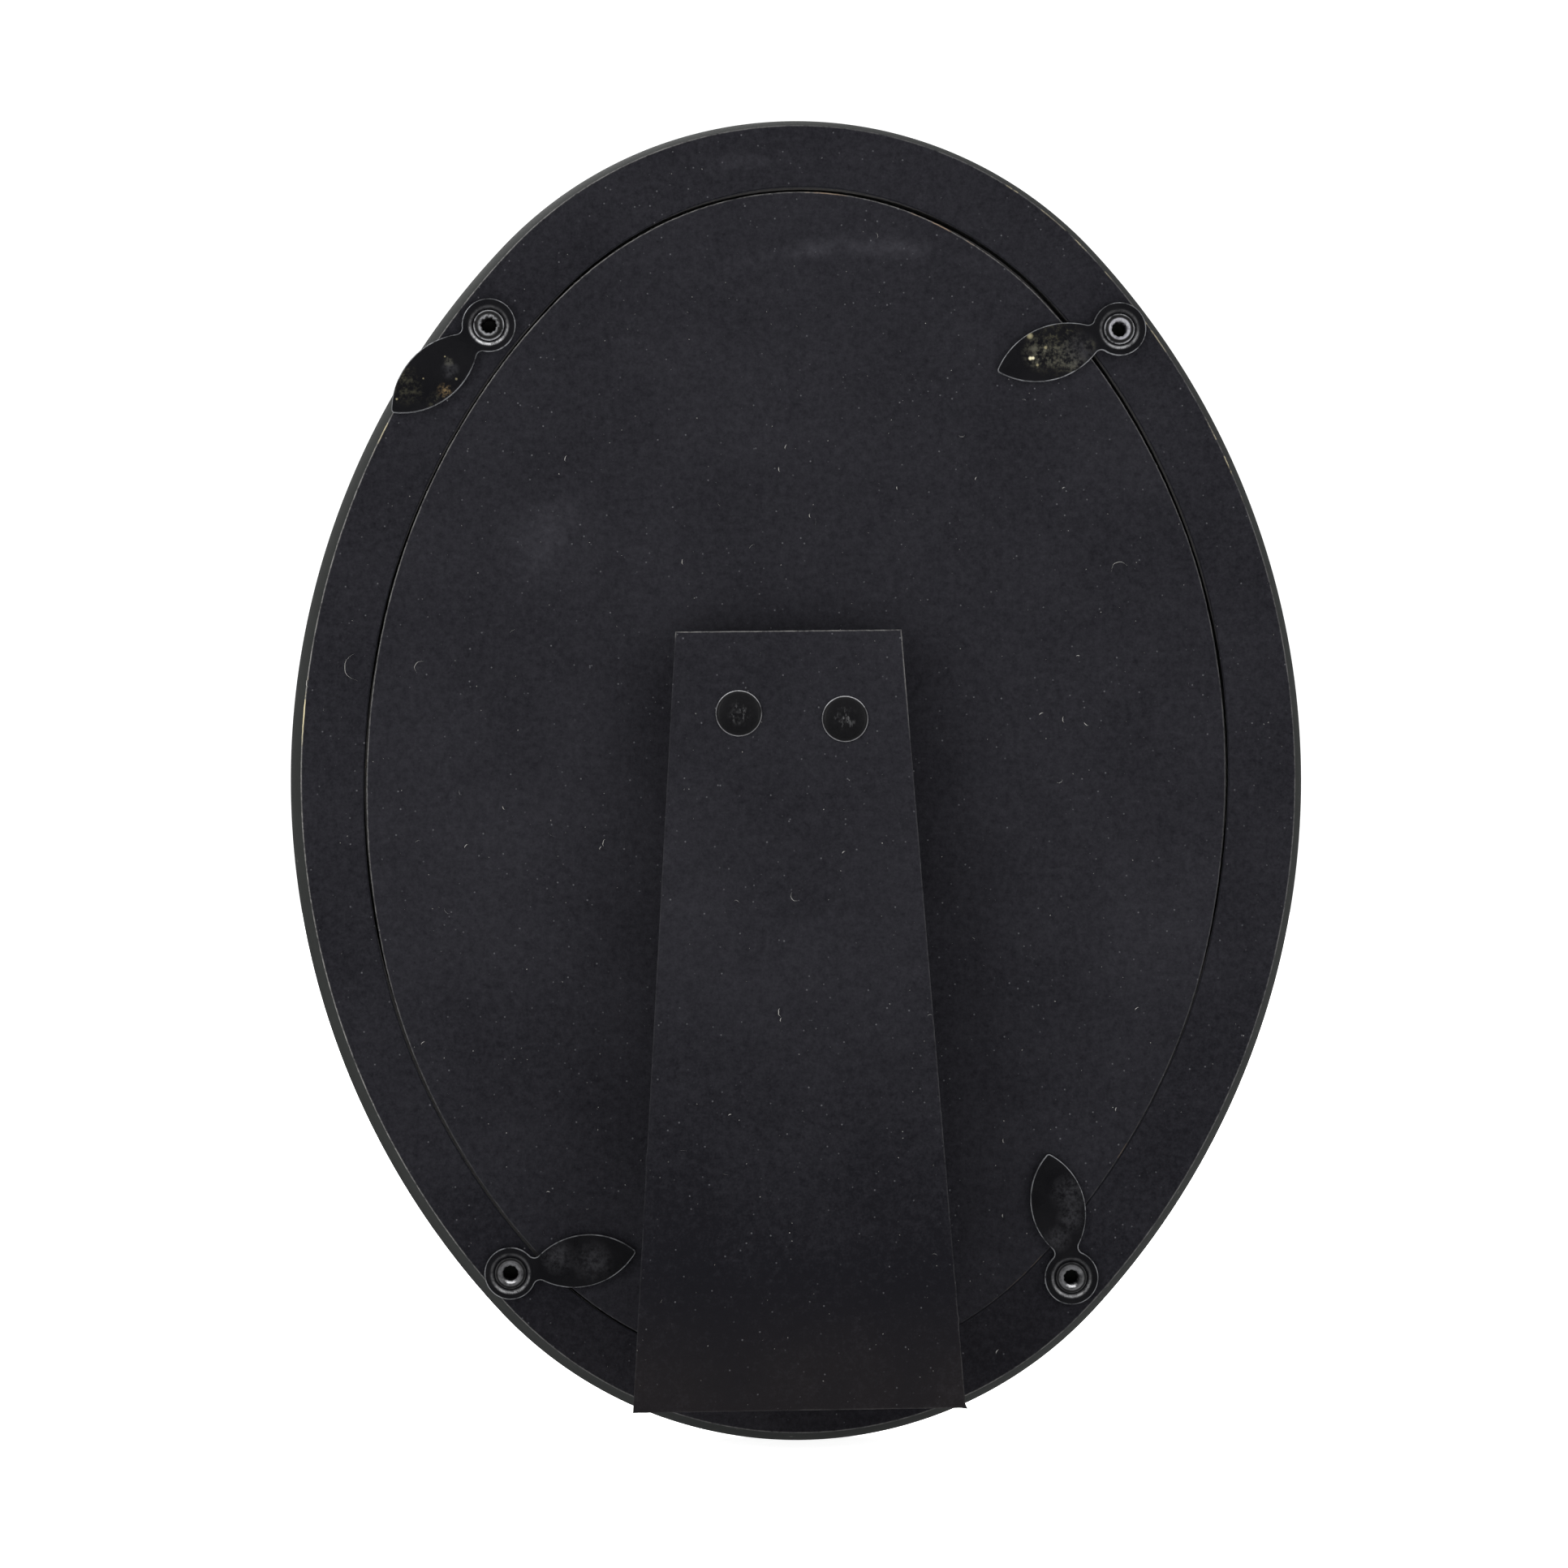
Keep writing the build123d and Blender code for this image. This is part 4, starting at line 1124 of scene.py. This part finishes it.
def petalled(radius, height, angle):  # the flared rim is split into round petals
    e = eyeletShape
    if height < e["high"] - e["petalFoot"] or radius > e["petalReach"]:
        return radius, height
    petal = abs(sin(angle * e["petals"] / 2))
    share = min(1, (e["petalEnd"] - radius) / e["petalRun"])
    wave = e["petalDepth"] * petal - e["petalDepth"] / 2
    return radius * (1 + share * wave), height - e["petalDrop"] * share * (1 - petal)


eyeletMesh = turned("eyelet", eyeletProfile(eyeletShape), eyeletShape["steps"], petalled)
mark(eyeletMesh, "far", [hypot(v.co.x, v.co.y) for v in eyeletMesh.vertices])
eyeletEnamel("eyeletEnamel")
eyeletDots = [(x, y, 0) for x, y in eyeletSpots.values()]
eyeletDots = dotMesh("eyeletSpots", eyeletDots, eyeletShape["turns"])
eyelets = runTree("button_eyelets", setParts, eyeletDots, "eyeletEnamel", Part=eyeletMesh)
eyeletNodes = [f"eyelet_{place}" for place in buttons]
eyeletPlace = backPlane(buttonShape["seat"])
addPiece(eyelets, eyeletPlace, "frame", "black_eyelet", "eyeletEnamel", *eyeletNodes)

rivetShape = {
    "head": 3.5, "rim": 0.25, "height": 0.9, "shank": 1.5, "tail": 2.4, "tailLow": -4.3,
    "steps": 72, "turns": [0.4, 2.1], "crown": 2.2,
}


def rivetProfile(r):
    head, shank, tail, low = r["head"], r["shank"], r["tail"], r["tailLow"]
    dome = [
        (head * share, r["rim"] + (r["height"] - r["rim"]) * (1 - share**2) * 0.98, 0)
        for share in (0.88, 0.84, 0.76, 0.66, 0.54, 0.42, 0.3, 0.2, 0.12, 0.06)
    ]
    return [
        (0, low, 0), (tail, low, 0), (tail, low + 0.5, 0), (shank, low + 0.5, 0), (shank, 0, 0),
        (head - 0.05, 0, 0), (head, 0.07, 0.4), (head, 0.16, 1), (head - 0.03, 0.24, 1),
        (head - 0.07, 0.28, 0.7), (head - 0.13, 0.27, 0.1), (head - 0.24, 0.24, 0),
        *dome, (0, r["height"] - 0.01, 0),
    ]


rivetMesh = turned("rivet", rivetProfile(rivetShape), rivetShape["steps"])
crowns = [
    1 - ease(np.hypot(v.co.x, v.co.y) / rivetShape["crown"]) if v.co.z > 0 else 0
    for v in rivetMesh.vertices
]
mark(rivetMesh, "crown", crowns)
rivetDots = [(x, y, strut["high"]) for x, y in strutRivets()]
rivetDots = dotMesh("rivetSpots", rivetDots, rivetShape["turns"])
rivets = runTree("strut_rivet_heads", setParts, rivetDots, "rivetBlack", Part=rivetMesh)
rimHighlight = marked(rivets, "edge")
for x, y in strutRivets():  # painted highlight: the rims are made brightest at the top
    for i, v in enumerate(rivets.vertices):
        if hypot(v.co.x - x, v.co.y - y) < rivetShape["head"] + 0.1:
            rimHighlight[i] *= 0.22 + 0.78 * ease(((v.co.y - y) / rivetShape["head"] - 0.35) / 0.5)
mark(rivets, "edge", rimHighlight)
rivetNodes = ("strut_rivet_left", "strut_rivet_right")
addPiece(rivets, strutFace, "strut", "black_rivet", "rivetBlack", *rivetNodes)
print("eyelets and rivets: 6")

# Lint: strewn specks and hairs, and the ones that show most, each where it lies
lint = {
    "specks": 25000.0, "hairs": 1000.0, "seed": 11, "speckSize": 0.00005,
    "hair": (0.0009, 0.00028, 0.000016), "thick": 0.038, "sharp": 60,
}
seenLint = {  # across, up, turn in degrees, length in mm
    "board": [
        (-30.0, -10.1, 80, 1.1), (-30.5, -10.9, 60, 0.6), (40.4, 8.8, 95, 0.9),
        (37.0, 9.7, 30, 0.7), (43.9, 8.1, 140, 0.8), (-35.9, 48.7, 75, 0.9),
        (1.5, 40.0, 100, 0.6), (48.9, 32.5, 20, 2.6), (-58.4, 16.9, 60, 2.0),
        (27.0, 45.8, 70, 0.5), (48.4, -50.9, 80, 0.6), (51.6, -35.5, 40, 0.7),
        (31.1, -55.7, 100, 0.6), (31.0, -67.1, 90, 0.5), (-38.4, -63.3, 0, 0.5),
        (-51.0, -10.6, 50, 0.7), (-45.3, -4.8, 120, 0.6), (-18.0, 32.9, 90, 0.8),
        (-3.2, 47.1, 100, 0.7), (-2.2, 50.6, 70, 0.7), (-57.5, -40.6, 40, 0.7),
        (42.7, 18.6, 0, 0.5), (14.9, 44.3, 100, 0.5), (40.5, 44.4, 30, 0.5),
    ],
    "ring": [(-68.7, 16.6, 95, 4.2), (30.1, -87.8, 60, 0.7), (-75.2, 14.2, 90, 1.2)],
    "strut": [
        (-2.2, -52.1, 92, 1.2), (-2.0, -53.2, 75, 0.6), (0.2, -34.9, 130, 1.6),
        (7.8, -28.1, 40, 0.5), (-9.8, -67.3, 20, 0.5),
    ],
}


def speckMesh(size):
    bm = bmesh.new()
    bmesh.ops.create_icosphere(bm, subdivisions=1, radius=size)
    for vert in bm.verts:
        x, y, z = vert.co
        bump = 1 + 0.45 * noise.noise(vert.co * 30000)
        vert.co = Vector((x * 1.5 * bump, y * bump, z * 0.4 + 0.00002))
    return meshFrom("speck", bm)


def hairMesh(length, sag, thick, segments=9, sides=4):  # a bent fibre, thinner to its ends
    bm = bmesh.new()
    rings = []
    for i in range(segments + 1):
        t = i / segments
        x = (t - 0.5) * length
        y = sag * 4 * t * (1 - t) - sag * 0.5 + length * 0.04 * sin(9 * t)
        r = thick * (0.35 + 0.65 * sin(pi * min(max(t, 0.03), 0.97)))
        turns = [2 * pi * k / sides for k in range(sides)]
        rings.append([bm.verts.new((x, y + r * cos(a), thick * 1.1 + r * sin(a))) for a in turns])
    for low, high in zip(rings, rings[1:]):
        for k in range(sides):
            j = (k + 1) % sides
            bm.faces.new((low[k], low[j], high[j], high[k]))
    bm.faces.new(rings[0])
    bm.faces.new(rings[-1][::-1])
    bmesh.ops.recalc_face_normals(bm, faces=bm.faces)
    return meshFrom("hair", bm)


scatterLint = lintTree()


def strewnLint(name, piece, facing, seed, share=1.0):
    density = {"SpeckDensity": lint["specks"] * share, "HairDensity": lint["hairs"] * share}
    shapes = {"Speck": speckMesh(lint["speckSize"]), "Hair": hairMesh(*lint["hair"])}
    values = {**density, **shapes, "Facing": facing, "Seed": lint["seed"] + seed}
    return runTree(name, scatterLint, piece.data, "lintFluff", **values)


def seenLintMesh(name, place):
    made = []
    for across, up, turn, length in seenLint[name]:
        bend, thick = (0.45, 0.8) if length > 1.5 else (0.22, 1.25)
        hair = hairMesh(length, length * bend, lint["thick"] * thick)
        dots = dotMesh("hairSpot", [(across, up, 0)], [radians(turn)])
        made.append(runTree(name, setParts, dots, "lintFluff", Part=hair))
    whole = joinMeshes(name, made)
    whole.transform(place)
    return whole


strutOut = (strutFace.to_3x3() @ Vector((0, 0, 1))).normalized()
frameLint = [
    strewnLint("boardLint", boardPiece, (0, 1, 0), 0),
    strewnLint("ringLint", ringPiece, (0, 1, 0), 3, 0.6),
    seenLintMesh("board", backPlane(boardSheet["low"] + paper["thickness"])),
    seenLintMesh("ring", backPlane(ringSheet["low"] + paper["thickness"])),
]
strutLint = [
    strewnLint("strutLint", strutPieces["outer"], strutOut, 8),
    seenLintMesh("strut", strutFace @ Matrix.Translation((0, 0, strut["high"]))),
]
lintSets = (("frame", frameLint, "black_flock"), ("strut", strutLint, "strut_flock"))
for body, meshes, slot in lintSets:
    mesh = joinMeshes(f"{body}_lint", meshes)
    smooth(mesh, lint["sharp"])
    addPiece(mesh, None, body, slot, "lintFluff")
    print(f"{body} lint:", len(mesh.polygons), "faces")

# Floor, world and lights
studio = {
    "floor": 16.0, "backdrop": 1.15, "ahead": 0.05, "sides": 0.72, "above": 0.95, "glow": 0.9,
    "screen": 0.85, "shade": 0.45,
}
bpy.ops.mesh.primitive_grid_add(x_subdivisions=8, y_subdivisions=8, size=studio["floor"])
floor = bpy.context.object
floor.name = "paleFloor"
floorFinish = Finish("paleFloor")
floorCloud = floorFinish.noise(3.0, 3.0, 0.5)
floorFinish.colour = floorFinish.blend(floorCloud, (0.9, 0.9, 0.9), (0.93, 0.93, 0.93))
floorGlow = {"Emission Color": (1, 1, 1, 1), "Emission Strength": studio["glow"]}
floorFinish.shade(0.9 + floorCloud * 0.05, 0.1, floorGlow)
floor.data.materials.append(finishes["paleFloor"])
floor.visible_glossy = False  # the lacquer mirrors the world instead

world = bpy.data.worlds.new("studio")
world.use_nodes = True
world.node_tree.nodes.clear()
scene.world = world
sky = Board(world.node_tree)
seen = sky.add("ShaderNodeLightPath", output="Is Camera Ray")
facing = sky.add("ShaderNodeSeparateXYZ", {0: sky.add("ShaderNodeTexCoord", output="Generated")})
x, y, z = (facing.out(axis) for axis in "XYZ")
behind = y.ramp(0.35, 0.9)  # the dark room on the camera's side
room = (1 - behind) * studio["sides"] + behind * studio["ahead"]
room = room + z.ramp(0.2, 1.0) * studio["above"]
screened = (x - z * 0.6).ramp(0.15, 0.5) * y.ramp(0.0, -0.3)
room = room * (1 - screened * studio["screen"])  # a dark screen in front, to the frame's left
room = room * (1 - y.ramp(-0.25, -0.85) * studio["shade"])
strength = seen * studio["backdrop"] + (1 - seen) * room
background = sky.add("ShaderNodeBackground", {"Color": (1, 1, 1, 1), "Strength": strength})
sky.add("ShaderNodeOutputWorld", {"Surface": background})


def softLight(name, place, size, power, target=(0, 0, 0.1)):
    light = newObject(name, bpy.data.lights.new(name, "AREA"))
    light.data.shape = "RECTANGLE"
    light.data.size, light.data.size_y = size
    light.data.energy = power
    light.location = place
    aim = Vector(target) - Vector(place)
    light.rotation_euler = aim.to_track_quat("-Z", "Y").to_euler()
    light.visible_camera = False


softLight("leftBox", (0.95, 0.75, 0.55), (0.5, 0.9), 6.1)
softLight("rightBox", (-0.95, 0.7, 0.35), (0.5, 0.9), 4.0)
softLight("frontBox", (0.45, -0.95, 0.95), (0.9, 0.7), 10.0)
print("studio ready")
